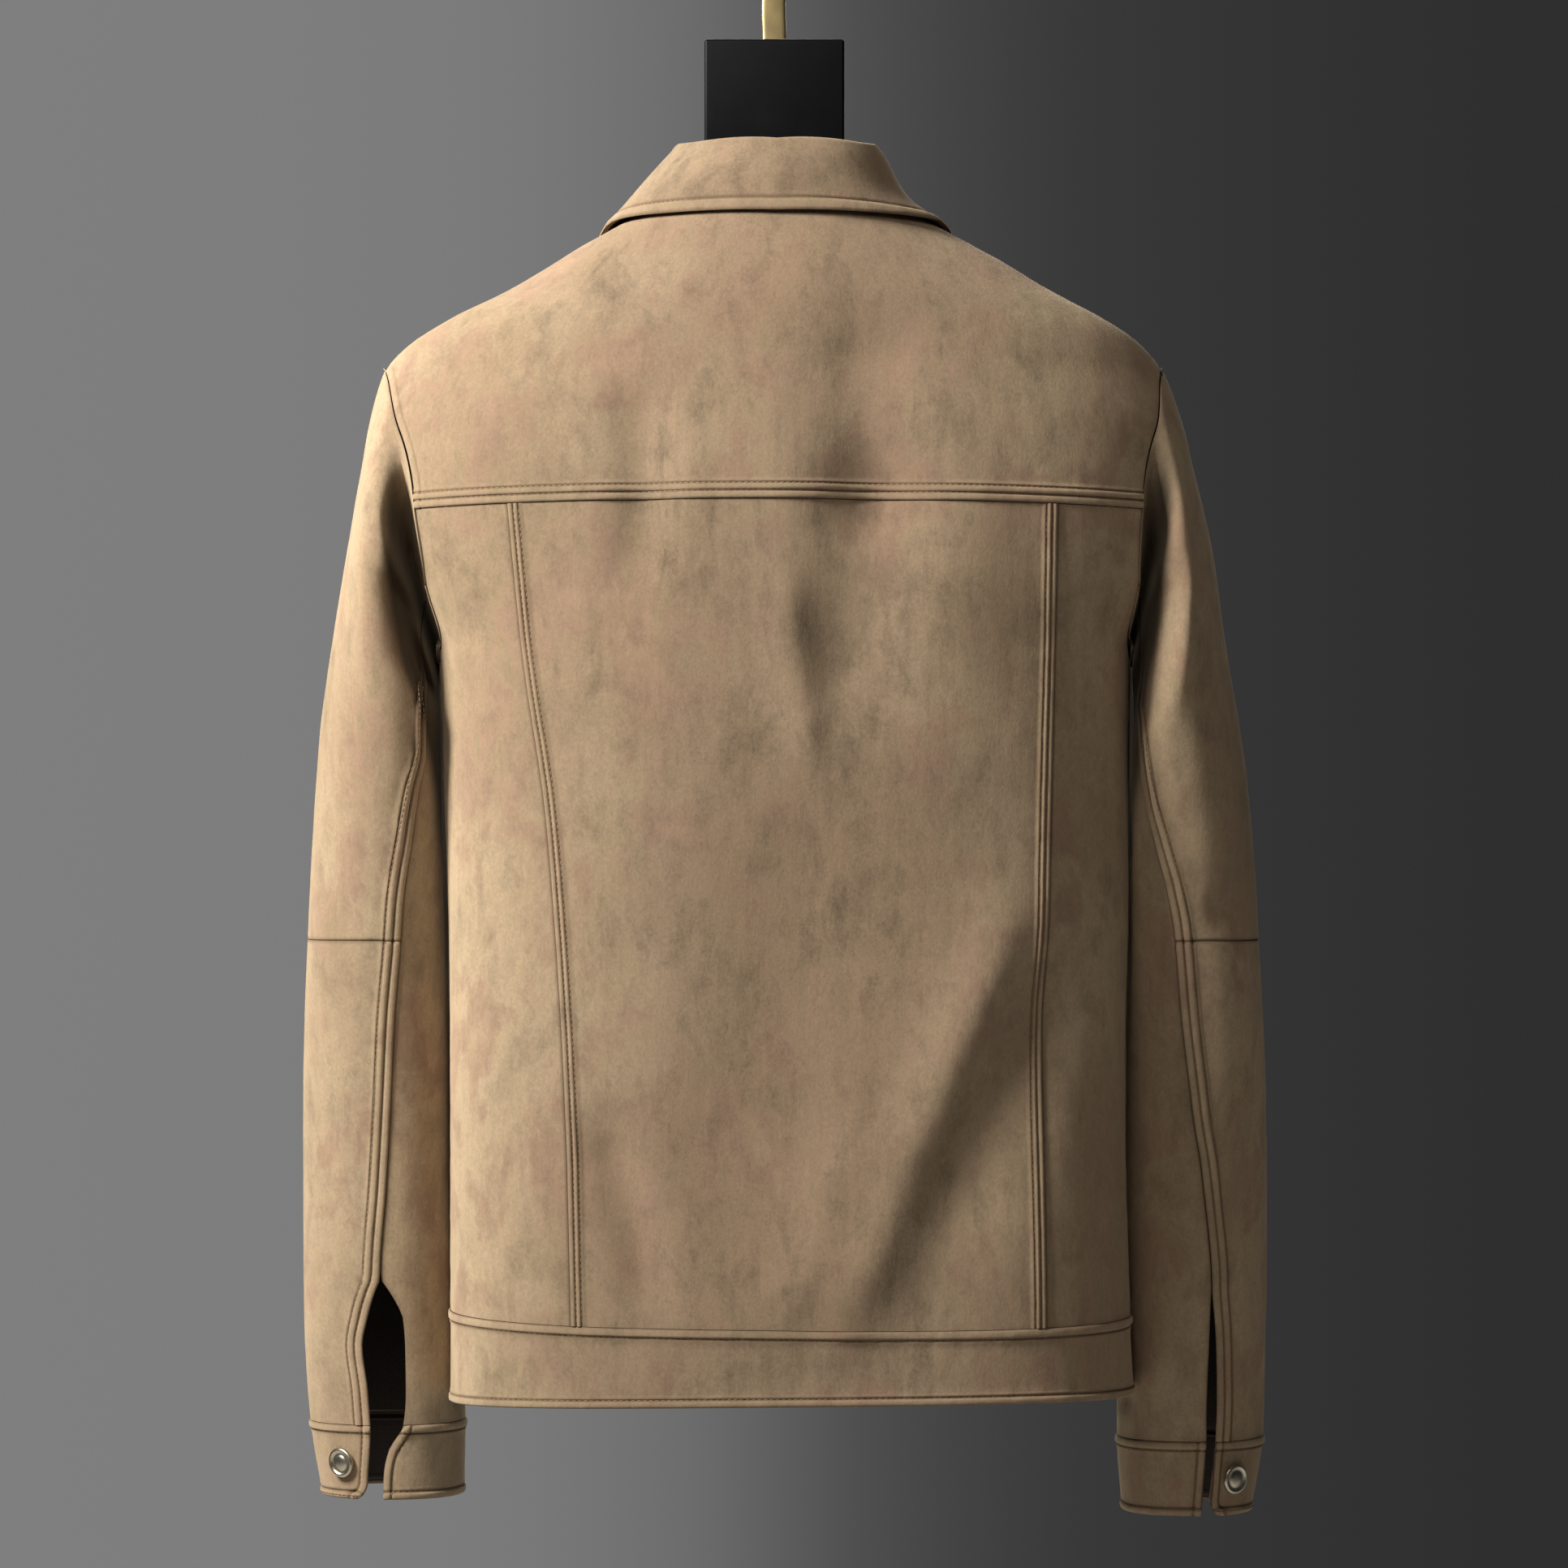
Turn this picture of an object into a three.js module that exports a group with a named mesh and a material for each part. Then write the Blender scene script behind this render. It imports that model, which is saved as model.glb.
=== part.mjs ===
// A suede trucker-cut jacket on a flat-headed hanger, modelled as worn cloth hanging from its shoulders.
// Millimetres, +Z up. The origin is the inside top of the hanger's hook, where a rail carries it.
// -Y is the back of the jacket, and +X is the wearer's right.
// Heights in the tables are measured up from the hem. Angles run round the body from the centre back.
import * as THREE from "three";

// Driving sizes
const HOOK_TO_HEM = 816;
const SUEDE = 2;
const COLLAR_CLOTH = 2.4;
const SEAM_GAP = 0.3;
const BAND_BOTTOM = 4;
const BAND_TOP = 50;
const YOKE_LAP = 8.4;
const LAP = 6.2;
const LAP_RISE = 1;
const LAP_EDGE = 2.5;
const RIB = 4.6;
const PLACKET_HALF = 19;
const UNDERLAP = 10;
const BUTTON_RADIUS = 8.2;

// Suede and metal colours
const FINISH = {
  suede: { color: 0xa98a63, roughness: 0.95, metalness: 0 },
  button: { color: 0xb7b09c, roughness: 0.3, metalness: 1 },
  hangerBlack: { color: 0x1a1a1b, roughness: 0.45, metalness: 0 },
  brass: { color: 0xb39b62, roughness: 0.3, metalness: 1 },
};

// Level rings of the body, named by the height of the ring at the side of the body. "lean" is how far the
// ring climbs towards the right, per millimetre.
// Above the underarm the sides are cut away by the armholes, and the ring is the surface that they cut.
const BODY_RINGS = [
  { side: 4, half: 185, middle: 8.5, back: 99, backHeight: 5, front: 90, frontHeight: 4, power: 3, lean: 0.01 },
  { side: 50, half: 184, middle: 7.5, back: 101, backHeight: 46, front: 92, frontHeight: 50, power: 3, lean: -0.008 },
  { side: 144, half: 183, middle: 6, back: 100, backHeight: 144, front: 94, frontHeight: 144, power: 2.95, lean: 0 },
  { side: 232, half: 184, middle: 6.4, back: 99, backHeight: 232, front: 96, frontHeight: 232, power: 2.85, lean: 0 },
  { side: 320, half: 185.5, middle: 5.5, back: 102, backHeight: 320, front: 99, frontHeight: 320, power: 2.7, lean: 0 },
  { side: 408, half: 187.5, middle: 4.5, back: 107, backHeight: 408, front: 101, frontHeight: 406, power: 2.45, lean: 0 },
  { side: 446, half: 210, middle: 3, back: 109, backHeight: 450, front: 98, frontHeight: 442, power: 2.2, lean: 0 },
  { side: 484, half: 225, middle: 1, back: 109, backHeight: 490, front: 94, frontHeight: 478, power: 2.05, lean: 0 },
  { side: 522, half: 229, middle: 0.5, back: 106, backHeight: 531, front: 91, frontHeight: 512, power: 1.95, lean: 0 },
  { side: 560, half: 211, middle: -1.5, back: 99, backHeight: 568, front: 87, frontHeight: 544, power: 1.9, lean: 0 },
  { side: 574, half: 199, middle: -0.8, back: 96, backHeight: 582, front: 85, frontHeight: 550, power: 1.87, lean: 0 },
  { side: 588, half: 177.5, middle: 0.8, back: 93, backHeight: 595, front: 82, frontHeight: 556, power: 1.85, lean: 0 },
  { side: 602, half: 149.5, middle: 2, back: 88, backHeight: 609, front: 79, frontHeight: 562, power: 1.85, lean: 0 },
  { side: 616, half: 125.5, middle: 1.5, back: 82, backHeight: 622, front: 76, frontHeight: 568, power: 1.87, lean: 0 },
  { side: 628, half: 105, middle: 0, back: 75, backHeight: 635, front: 72, frontHeight: 575, power: 1.9, lean: 0 },
  { side: 637, half: 88, middle: 0, back: 68, backHeight: 646, front: 69, frontHeight: 580, power: 1.95, lean: 0 },
  { side: 645, half: 72, middle: 0, back: 61, backHeight: 655, front: 66, frontHeight: 585, power: 2, lean: 0 },
];
const NECK = 645;
const SHOULDER_TIP = 560;
const UNDERARM = 402;
const YOKE_SEAM = (SHOULDER_TIP + UNDERARM) / 2;

// The armhole: half its height and half its depth, with the yoke seam at its middle
const ARMHOLE = { middle: YOKE_SEAM, halfHeight: SHOULDER_TIP - YOKE_SEAM, halfDepth: 56 };
const ARMHOLE_STEP = 15;

// The two long seams of the back, as distances from the centre line at each height
const BACK_SEAMS = [
  { height: 50, left: -109, right: 143.5 },
  { height: 144, left: -111.5, right: 143 },
  { height: 232, left: -116, right: 144 },
  { height: 320, left: -123, right: 146 },
  { height: 408, left: -135.5, right: 148 },
  { height: 484, left: -143.3, right: 149.5 },
];

// Soft folds of the body: a line from one point to another, and how far the cloth stands out along it.
// "on" is -1 for the back and 1 for the front.
const BODY_FOLDS = [
  { on: -1, x0: 48, h0: 580, x1: 54, h1: 468, width: 24, rise: -9 },
  { on: -1, x0: 56, h0: 500, x1: 40, h1: 366, width: 24, rise: -11 },
  { on: -1, x0: 2, h0: 445, x1: 18, h1: 350, width: 11, rise: 4 },
  { on: -1, x0: -71, h0: 548, x1: -72, h1: 440, width: 16, rise: -8 },
  { on: -1, x0: 124, h0: 254, x1: 34, h1: 50, width: 20, rise: 8 },
  { on: -1, x0: 150, h0: 240, x1: 84, h1: 100, width: 30, rise: -8 },
  { on: -1, x0: 44, h0: 150, x1: 6, h1: 52, width: 15, rise: 4.5 },
  { on: -1, x0: 20, h0: 310, x1: -6, h1: 105, width: 48, rise: -5.5 },
  { on: -1, x0: -92, h0: 152, x1: -64, h1: 58, width: 14, rise: -7 },
  { on: -1, x0: -122, h0: 566, x1: -172, h1: 500, width: 22, rise: 3 },
  { on: 1, x0: -40, h0: 520, x1: -66, h1: 330, width: 24, rise: -5 },
  { on: 1, x0: 62, h0: 500, x1: 44, h1: 300, width: 26, rise: -4.5 },
  { on: 1, x0: -120, h0: 250, x1: -44, h1: 66, width: 22, rise: 5.5 },
  { on: 1, x0: -148, h0: 230, x1: -76, h1: 60, width: 22, rise: -5.5 },
  { on: 1, x0: 118, h0: 260, x1: 60, h1: 70, width: 22, rise: -5 },
];

// Sections of each sleeve, named by how far they lie below the shoulder tip on the sleeve's outer side.
// "outer" and "inner" are distances from the centre line, "tilt" is how far the inner side hangs lower,
// "forward" and "depth" place and size the section front to back, and "seam" is the back seam's angle,
// counted from the outer side round the back.
const LEFT_SLEEVE = [
  { drop: 0, outer: 212.5, inner: 184, tilt: 158, forward: 0, depth: 60, seam: 120 },
  { drop: 20, outer: 219.8, inner: 183.6, tilt: 143, forward: 1.1, depth: 62.4, seam: 121.4 },
  { drop: 54, outer: 225.8, inner: 183, tilt: 118, forward: 3, depth: 66, seam: 124 },
  { drop: 103, outer: 234.2, inner: 180, tilt: 92, forward: 7, depth: 69, seam: 130 },
  { drop: 147, outer: 242, inner: 179, tilt: 71, forward: 11, depth: 69, seam: 131 },
  { drop: 190, outer: 248, inner: 178, tilt: 51, forward: 15, depth: 68, seam: 123 },
  { drop: 235, outer: 251.5, inner: 177, tilt: 31, forward: 20, depth: 66, seam: 116 },
  { drop: 275, outer: 254.5, inner: 176, tilt: 13, forward: 24, depth: 64, seam: 110 },
  { drop: 309, outer: 256.6, inner: 175.5, tilt: 0, forward: 27, depth: 62, seam: 107.5 },
  { drop: 350, outer: 258.4, inner: 174.5, tilt: 0, forward: 31, depth: 59, seam: 102.5 },
  { drop: 395, outer: 259.4, inner: 174, tilt: 0, forward: 35, depth: 56, seam: 99.5 },
  { drop: 440, outer: 259.6, inner: 173, tilt: 0, forward: 39, depth: 53, seam: 95.5 },
  { drop: 493, outer: 259.6, inner: 172.5, tilt: 0, forward: 43, depth: 51, seam: 91 },
  { drop: 526, outer: 259.2, inner: 173.5, tilt: 0, forward: 46, depth: 50, seam: 91 },
  { drop: 573, outer: 256, inner: 171.5, tilt: 0, forward: 49, depth: 49, seam: 91 },
  { drop: 614, outer: 249.4, inner: 172, tilt: 0, forward: 50, depth: 48, seam: 91 },
];
const RIGHT_SLEEVE = [
  { drop: 0, outer: 212, inner: 193, tilt: 158, forward: 0, depth: 60, seam: 120 },
  { drop: 20, outer: 218.6, inner: 190.5, tilt: 143, forward: 1.1, depth: 62.4, seam: 120.6 },
  { drop: 54, outer: 226.4, inner: 187.5, tilt: 118, forward: 3, depth: 66, seam: 122 },
  { drop: 103, outer: 237.7, inner: 187, tilt: 92, forward: 7, depth: 69, seam: 131 },
  { drop: 147, outer: 244.3, inner: 186.5, tilt: 71, forward: 11, depth: 69, seam: 132 },
  { drop: 190, outer: 251.5, inner: 186.5, tilt: 51, forward: 15, depth: 68, seam: 128 },
  { drop: 235, outer: 258, inner: 186.5, tilt: 31, forward: 20, depth: 66, seam: 118.5 },
  { drop: 275, outer: 261.8, inner: 186.5, tilt: 13, forward: 24, depth: 64, seam: 109 },
  { drop: 309, outer: 263.7, inner: 186, tilt: 0, forward: 27, depth: 62, seam: 103 },
  { drop: 350, outer: 266.4, inner: 185.5, tilt: 0, forward: 31, depth: 59, seam: 99 },
  { drop: 395, outer: 268.3, inner: 187, tilt: 0, forward: 35, depth: 56, seam: 94 },
  { drop: 440, outer: 268.5, inner: 186, tilt: 0, forward: 39, depth: 53, seam: 86 },
  { drop: 500, outer: 268.7, inner: 185, tilt: 0, forward: 43, depth: 51, seam: 78.9 },
  { drop: 535, outer: 268.5, inner: 187, tilt: 0, forward: 46, depth: 50, seam: 78.9 },
  { drop: 557, outer: 268.2, inner: 187, tilt: 0, forward: 47.4, depth: 49.5, seam: 78.9 },
  { drop: 582, outer: 267.4, inner: 187, tilt: 0, forward: 49, depth: 49, seam: 78.9 },
  { drop: 623, outer: 260.7, inner: 190, tilt: 0, forward: 50, depth: 48, seam: 78.9 },
];
const ELBOW_DROP = 309;
const FRONT_SEAM_ANGLE = 240;

// What differs between the sleeves: where the cuff begins and ends, and the slit's two edges as angles
const SLEEVES = {
  left: {
    side: -1,
    rings: LEFT_SLEEVE,
    slitTop: 493,
    cuffTop: 573,
    cuffEnd: 614,
    slitEdge: [
      { drop: 493, tab: 91, under: 91 },
      { drop: 505, tab: 86.5, under: 100.5 },
      { drop: 515, tab: 83.5, under: 106.5 },
      { drop: 530, tab: 80, under: 108 },
      { drop: 555, tab: 82, under: 106.5 },
      { drop: 573, tab: 82, under: 103 },
      { drop: 587, tab: 80, under: 92 },
      { drop: 600, tab: 77, under: 88 },
      { drop: 614, tab: 74, under: 86 },
    ],
    buttonAngle: 56.5,
  },
  right: {
    side: 1,
    rings: RIGHT_SLEEVE,
    slitTop: 500,
    cuffTop: 582,
    cuffEnd: 623,
    slitEdge: [
      { drop: 500, tab: 78.9, under: 78.9 },
      { drop: 520, tab: 77, under: 80.5 },
      { drop: 545, tab: 76, under: 82 },
      { drop: 565, tab: 75.5, under: 82.5 },
      { drop: 582, tab: 76, under: 82 },
      { drop: 623, tab: 76, under: 82 },
    ],
    buttonAngle: 56.5,
  },
};

// Soft folds of a sleeve, as lines over its drop and its angle
const SLEEVE_FOLDS = [
  { drop0: 70, angle0: 270, drop1: 220, angle1: 225, width: 20, rise: -7 },
  { drop0: 262, angle0: 30, drop1: 300, angle1: 78, width: 13, rise: -3 },
  { drop0: 330, angle0: 200, drop1: 290, angle1: 320, width: 15, rise: -4 },
  { drop0: 380, angle0: 250, drop1: 340, angle1: 330, width: 15, rise: 3 },
  { drop0: 400, angle0: 40, drop1: 470, angle1: 62, width: 15, rise: -2.5 },
];
const LEFT_SLEEVE_RIDGE = { drop0: 40, angle0: 40, drop1: 150, angle1: 86, width: 16, rise: 3 };
const RIGHT_SLEEVE_RIDGE = { drop0: 40, angle0: 52, drop1: 150, angle1: 98, width: 15, rise: 3 };

// Behind the shoulder each sleeve falls in beside the armhole. These hollows push the cloth forward.
const LEFT_HOLLOWS = [
  { drop0: 24, angle0: 76, drop1: 31, angle1: 182, width: 21, rise: -38 },
  { drop0: 50, angle0: 96, drop1: 98, angle1: 130, width: 30, rise: -22 },
];
const RIGHT_HOLLOWS = [
  { drop0: 24, angle0: 76, drop1: 29, angle1: 160, width: 22, rise: -32 },
  { drop0: 48, angle0: 98, drop1: 120, angle1: 148, width: 30, rise: -22 },
];

// The collar at stations from the centre back (0) to the front edge (1): the height of its stand,
// how far that leans in, the ring of the body over which the edge of the fall lies, and how far it bulges.
// The wearer's right side of the fall is tucked in by so much more.
const COLLAR_STATIONS = [
  { along: 0, stand: 28, lean: 10, edgeRing: 632, bulge: 4 },
  { along: 0.25, stand: 32, lean: 14, edgeRing: 633.5, bulge: 2.5 },
  { along: 0.5, stand: 39, lean: 22, edgeRing: 636, bulge: 0.5 },
  { along: 0.66, stand: 37, lean: 19, edgeRing: 627, bulge: 2 },
  { along: 0.82, stand: 30, lean: 12, edgeRing: 592, bulge: 4 },
  { along: 1, stand: 24, lean: 6, edgeRing: 540, bulge: 5 },
];
const COLLAR = { neckAngle: 177, pointAngle: 166, clearance: 4, roll: 5, rightTuck: 6 };

const HANGER = {
  middle: -1.2,
  plate: { width: 76, thickness: 10, top: 740, bottom: 650 },
  bar: { width: 13, thickness: 5, innerRadius: 16, bevel: 0.6 },
};
// Sections of the hanger's arm from its middle outwards; past the neck its top lies close under the shoulder
const HANGER_ARM = [
  { out: 0, top: 649.7, height: 16, halfDepth: 9 },
  { out: 46, top: 649.7, height: 16, halfDepth: 9 },
  { out: 72, top: 642, height: 17, halfDepth: 10 },
  { out: 100, top: 629, height: 17, halfDepth: 12 },
  { out: 130, top: 613, height: 17, halfDepth: 15 },
  { out: 158, top: 597, height: 17, halfDepth: 17 },
  { out: 176, top: 580, height: 16, halfDepth: 18 },
];
const ARM_UNDER_SHOULDER = 4.8;

const FRONT_BUTTON_HEIGHTS = [556, 470, 384, 298, 212, 126];
const BAND_BUTTON_HEIGHT = 22;

const { clamp, lerp, degToRad, smoothstep } = THREE.MathUtils;
const UP = new THREE.Vector3(0, 0, 1);

// The smooth curve through one column of a table, as a function of its key column
function curveOf(rows, key, column) {
  const slope = (i) => (rows[i + 1][column] - rows[i][column]) / (rows[i + 1][key] - rows[i][key]);
  const tangent = (i) => {
    if (i === 0) return slope(0);
    if (i === rows.length - 1) return slope(i - 1);
    const [before, after] = [slope(i - 1), slope(i)];
    return before * after <= 0 ? 0 : (2 * before * after) / (before + after);
  };
  return (at) => {
    const x = clamp(at, rows[0][key], rows.at(-1)[key]);
    const i = clamp(rows.findLastIndex((row) => row[key] <= x), 0, rows.length - 2);
    const step = rows[i + 1][key] - rows[i][key];
    const t = (x - rows[i][key]) / step;
    const rise = t * t * (3 - 2 * t);
    const leaving = t * (1 - t) * (1 - t) * step * tangent(i);
    const arriving = t * t * (1 - t) * step * tangent(i + 1);
    return lerp(rows[i][column], rows[i + 1][column], rise) + leaving - arriving;
  };
}

// Every column of a table as such a curve
function curvesOf(rows, key) {
  const columns = Object.keys(rows[0]).filter((column) => column !== key);
  return Object.fromEntries(columns.map((column) => [column, curveOf(rows, key, column)]));
}

// How far a point stands out because of the folds near it; each fold fades at its ends
function foldRise(folds, startOf, endOf, x, y) {
  return folds.reduce((sum, fold) => {
    const start = startOf(fold);
    const end = endOf(fold);
    const run = end.clone().sub(start);
    const reach = new THREE.Vector2(x, y).sub(start);
    const along = reach.dot(run) / run.lengthSq();
    const aside = Math.abs(reach.cross(run)) / run.length();
    const fade = Math.exp(-((Math.max(0, Math.abs(along - 0.5) - 0.3) / 0.22) ** 2));
    return sum + fold.rise * fade * Math.exp(-((aside / fold.width) ** 2));
  }, 0);
}

// The body as a surface over rings and angles

const ring = curvesOf(BODY_RINGS, "side");

function bodyBase(side, angle) {
  const turn = degToRad(angle);
  const roundness = 2 / ring.power(side);
  const across = Math.sign(Math.sin(turn)) * Math.abs(Math.sin(turn)) ** roundness;
  const deep = Math.abs(Math.cos(turn));
  const atBack = Math.cos(turn) >= 0;
  const depth = atBack ? -ring.back(side) : ring.front(side);
  const endHeight = atBack ? ring.backHeight(side) : ring.frontHeight(side);
  const x = ring.middle(side) + ring.half(side) * across;
  const height = lerp(side, endHeight, deep ** 1.5) + ring.lean(side) * x;
  return new THREE.Vector3(x, depth * deep ** roundness, height - HOOK_TO_HEM);
}

function normalOf(surface, row, column, step) {
  const along = surface(row, column + step).sub(surface(row, column - step));
  const up = surface(row + step, column).sub(surface(row - step, column));
  return along.cross(up).normalize();
}

const bodyNormal = (side, angle) => normalOf(bodyBase, clamp(side, 1, NECK - 1), angle, 0.7);

function bodyPoint(side, angle) {
  const point = bodyBase(side, angle);
  const on = Math.sign(point.y);
  const rise = foldRise(
    BODY_FOLDS.filter((fold) => fold.on === on),
    (fold) => new THREE.Vector2(fold.x0, fold.h0),
    (fold) => new THREE.Vector2(fold.x1, fold.h1),
    point.x,
    point.z + HOOK_TO_HEM,
  );
  return point.addScaledVector(bodyNormal(side, angle), rise);
}

// The angle at which a ring reaches a distance from the centre line; "on" is -1 for the back, 1 for the front
function angleAtX(side, x, on) {
  const across = clamp((x - ring.middle(side)) / ring.half(side), -1, 1);
  const sine = Math.sign(across) * Math.abs(across) ** (ring.power(side) / 2);
  const angle = THREE.MathUtils.radToDeg(Math.asin(sine));
  return on < 0 ? angle : 180 - angle;
}

// The angle one way round a ring that is so many millimetres on from another
function angleAlong(side, angle, distance) {
  const perDegree = bodyBase(side, angle + 0.5).distanceTo(bodyBase(side, angle - 0.5));
  return angle + distance / perDegree;
}

// The armhole, turned by an angle from the shoulder tip (0) over the back (90) to the underarm (180)
// and the front (270), as the ring and the angle on the body's surface where it cuts
function armholeOnBody(turn) {
  const side = ARMHOLE.middle + ARMHOLE.halfHeight * Math.cos(degToRad(turn));
  const reach = Math.abs(Math.sin(degToRad(turn))) * ARMHOLE.halfDepth;
  const atBack = turn < 180;
  const depth = atBack ? ring.back(side) : ring.front(side);
  const lean = THREE.MathUtils.radToDeg(Math.asin((reach / depth) ** (ring.power(side) / 2)));
  return { side, angle: atBack ? 90 - lean : 90 + lean };
}

const armholeSamples = Array.from({ length: 360 / ARMHOLE_STEP + 1 }, (_, i) => armholeOnBody(i * ARMHOLE_STEP));

// The armhole's edge in space, straight between its samples so that the panels on each side of it match
function armholePoint(side, turn) {
  const place = (((turn % 360) + 360) % 360) / ARMHOLE_STEP;
  const i = Math.min(Math.floor(place), armholeSamples.length - 2);
  const at = (sample) => bodyPoint(sample.side, side * sample.angle);
  return at(armholeSamples[i]).lerp(at(armholeSamples[i + 1]), place - i);
}

// The armhole's angle on one side of the body at a ring, on its back or its front edge
function armholeAngle(ringSide, on) {
  const half = armholeSamples.slice(0, 180 / ARMHOLE_STEP + 1);
  const samples = on < 0 ? half : armholeSamples.slice(180 / ARMHOLE_STEP).reverse();
  const i = clamp(samples.findLastIndex((s) => s.side >= ringSide - 1e-6), 0, samples.length - 2);
  const [high, low] = [samples[i], samples[i + 1]];
  return lerp(high.angle, low.angle, clamp((high.side - ringSide) / (high.side - low.side), 0, 1));
}

const SHOULDER_SEAM_SHIFT = 14;

// The outer edge of a body panel: the side seam, then the armhole, then the seam over the shoulder,
// which lies a little in front of the shoulder's ridge
function sideEdge(side, on) {
  if (side <= UNDERARM) return 90;
  if (side < SHOULDER_TIP) return armholeAngle(side, on);
  return 90 + SHOULDER_SEAM_SHIFT * smoothstep(side, SHOULDER_TIP, NECK);
}

// The ring heights of panel rows: plain steps to the underarm, the armhole's samples, and the shoulder
const evenly = (from, to, count) => Array.from({ length: count + 1 }, (_, i) => lerp(from, to, i / count));
const armholeRows = armholeSamples
  .slice(0, 180 / ARMHOLE_STEP + 1)
  .map((sample) => sample.side)
  .reverse();
const LOWER_ROWS = evenly(BAND_TOP, UNDERARM, 11).slice(0, -1);
const SHOULDER_ROWS = BODY_RINGS.map((row) => row.side).filter((side) => side > SHOULDER_TIP);
const BACK_ROWS = [...LOWER_ROWS, ...armholeRows.filter((side) => side <= YOKE_SEAM + 1e-6)];
const YOKE_ROWS = [
  YOKE_SEAM,
  YOKE_SEAM + YOKE_LAP,
  YOKE_SEAM + YOKE_LAP + LAP_EDGE,
  ...armholeRows.filter((side) => side > YOKE_SEAM + 1),
  ...SHOULDER_ROWS,
];
const FRONT_ROWS = [...LOWER_ROWS, ...armholeRows, ...SHOULDER_ROWS];

// A solid wall of cloth: the outer skin goes through a grid of stations, the inner skin lies one thickness
// inside it, and the edges are drawn in by half a seam's gap. "facing" is 1 where the columns, crossed with
// the rows, point out of the garment. "rise" lifts the outer skin alone.
function clothWall(rows, columns, { surface, normal, facing = 1, thickness = SUEDE, rise = () => 0, open = [] }) {
  const outer = [];
  const inner = [];
  rows.forEach((row, j) => {
    outer.push([]);
    inner.push([]);
    columns.forEach((column, i) => {
      const across = column(row);
      const out = normal(row, across);
      const skin = surface(row, across);
      outer[j].push(skin.clone().addScaledVector(out, rise(i, j)));
      inner[j].push(skin.clone().addScaledVector(out, -thickness));
    });
  });
  [outer, inner].forEach((grid) => drawInEdges(grid, open));
  return wallGeometry(outer, inner, facing);
}

function drawInEdges(grid, open) {
  const height = grid.length;
  const width = grid[0].length;
  const pull = (point, towards) => {
    const step = towards.clone().sub(point);
    return point.clone().addScaledVector(step.normalize(), SEAM_GAP / 2);
  };
  const edges = {
    bottom: () => grid[0].forEach((p, i) => p.copy(pull(p, grid[1][i]))),
    top: () => grid[height - 1].forEach((p, i) => p.copy(pull(p, grid[height - 2][i]))),
    start: () => grid.forEach((line) => line[0].copy(pull(line[0], line[1]))),
    end: () => grid.forEach((line) => line[width - 1].copy(pull(line[width - 1], line[width - 2]))),
  };
  Object.keys(edges)
    .filter((edge) => !open.includes(edge))
    .forEach((edge) => edges[edge]());
}

function wallGeometry(outer, inner, facing) {
  const height = outer.length;
  const width = outer[0].length;
  const points = [...outer.flat(), ...inner.flat()];
  const skin = height * width;
  const index = [];
  const quad = (a, b, c, d) => index.push(...(facing > 0 ? [a, b, c, a, c, d] : [a, c, b, a, d, c]));
  const at = (j, i) => j * width + i;
  for (let j = 0; j < height - 1; j += 1) {
    for (let i = 0; i < width - 1; i += 1) {
      const corners = [at(j, i), at(j, i + 1), at(j + 1, i + 1), at(j + 1, i)];
      quad(...corners);
      quad(...corners.map((corner) => corner + skin).reverse());
    }
  }
  const rim = [];
  for (let i = 0; i < width - 1; i += 1) rim.push(at(0, i));
  for (let j = 0; j < height - 1; j += 1) rim.push(at(j, width - 1));
  for (let i = width - 1; i > 0; i -= 1) rim.push(at(height - 1, i));
  for (let j = height - 1; j > 0; j -= 1) rim.push(at(j, 0));
  rim.forEach((start, k) => {
    const end = rim[(k + 1) % rim.length];
    quad(start, start + skin, end + skin, end);
  });
  const geometry = new THREE.BufferGeometry();
  geometry.setAttribute("position", new THREE.Float32BufferAttribute(points.flatMap((p) => p.toArray()), 3));
  geometry.setIndex(index);
  return geometry;
}

// Column functions, evenly spread between two edges that are themselves functions of the row
const spread = (from, to, count) =>
  evenly(0, 1, count).map((share) => (row) => lerp(from(row), to(row), share));

const bodySurface = { surface: bodyPoint, normal: bodyNormal };

const jacket = new THREE.Group();

function addMesh(name, geometry, finish) {
  geometry.computeVertexNormals();
  const mesh = new THREE.Mesh(geometry, new THREE.MeshStandardMaterial({ name: finish, ...FINISH[finish] }));
  mesh.name = name;
  jacket.add(mesh);
}

// Back: a centre panel that laps over the two side panels, and a yoke that laps over all three

const backSeam = curvesOf(BACK_SEAMS, "height");
const leftSeam = (row) => angleAtX(row, backSeam.left(row), -1);
const rightSeam = (row) => angleAtX(row, backSeam.right(row), -1);
const inFrom = (edge, distance) => (row) => angleAlong(row, edge(row), distance);

function addBack() {
  const lapIn = LAP + LAP_EDGE;
  const centreColumns = [
    leftSeam,
    inFrom(leftSeam, LAP),
    ...spread(inFrom(leftSeam, lapIn), inFrom(rightSeam, -lapIn), 12),
    inFrom(rightSeam, -LAP),
    rightSeam,
  ];
  const last = centreColumns.length - 1;
  addMesh(
    "back_centre_panel",
    clothWall(BACK_ROWS, centreColumns, {
      ...bodySurface,
      rise: (i) => (i < 2 || i > last - 2 ? LAP_RISE : 0),
    }),
    "suede",
  );
  const leftSide = (row) => -sideEdge(row, -1);
  const rightSide = (row) => sideEdge(row, -1);
  addMesh("back_side_panel_left", clothWall(BACK_ROWS, spread(leftSide, leftSeam, 4), bodySurface), "suede");
  addMesh("back_side_panel_right", clothWall(BACK_ROWS, spread(rightSeam, rightSide, 4), bodySurface), "suede");
  addMesh(
    "back_yoke",
    clothWall(YOKE_ROWS, spread(leftSide, rightSide, 20), {
      ...bodySurface,
      rise: (i, j) => (j < 2 ? LAP_RISE : 0),
    }),
    "suede",
  );
}

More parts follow.
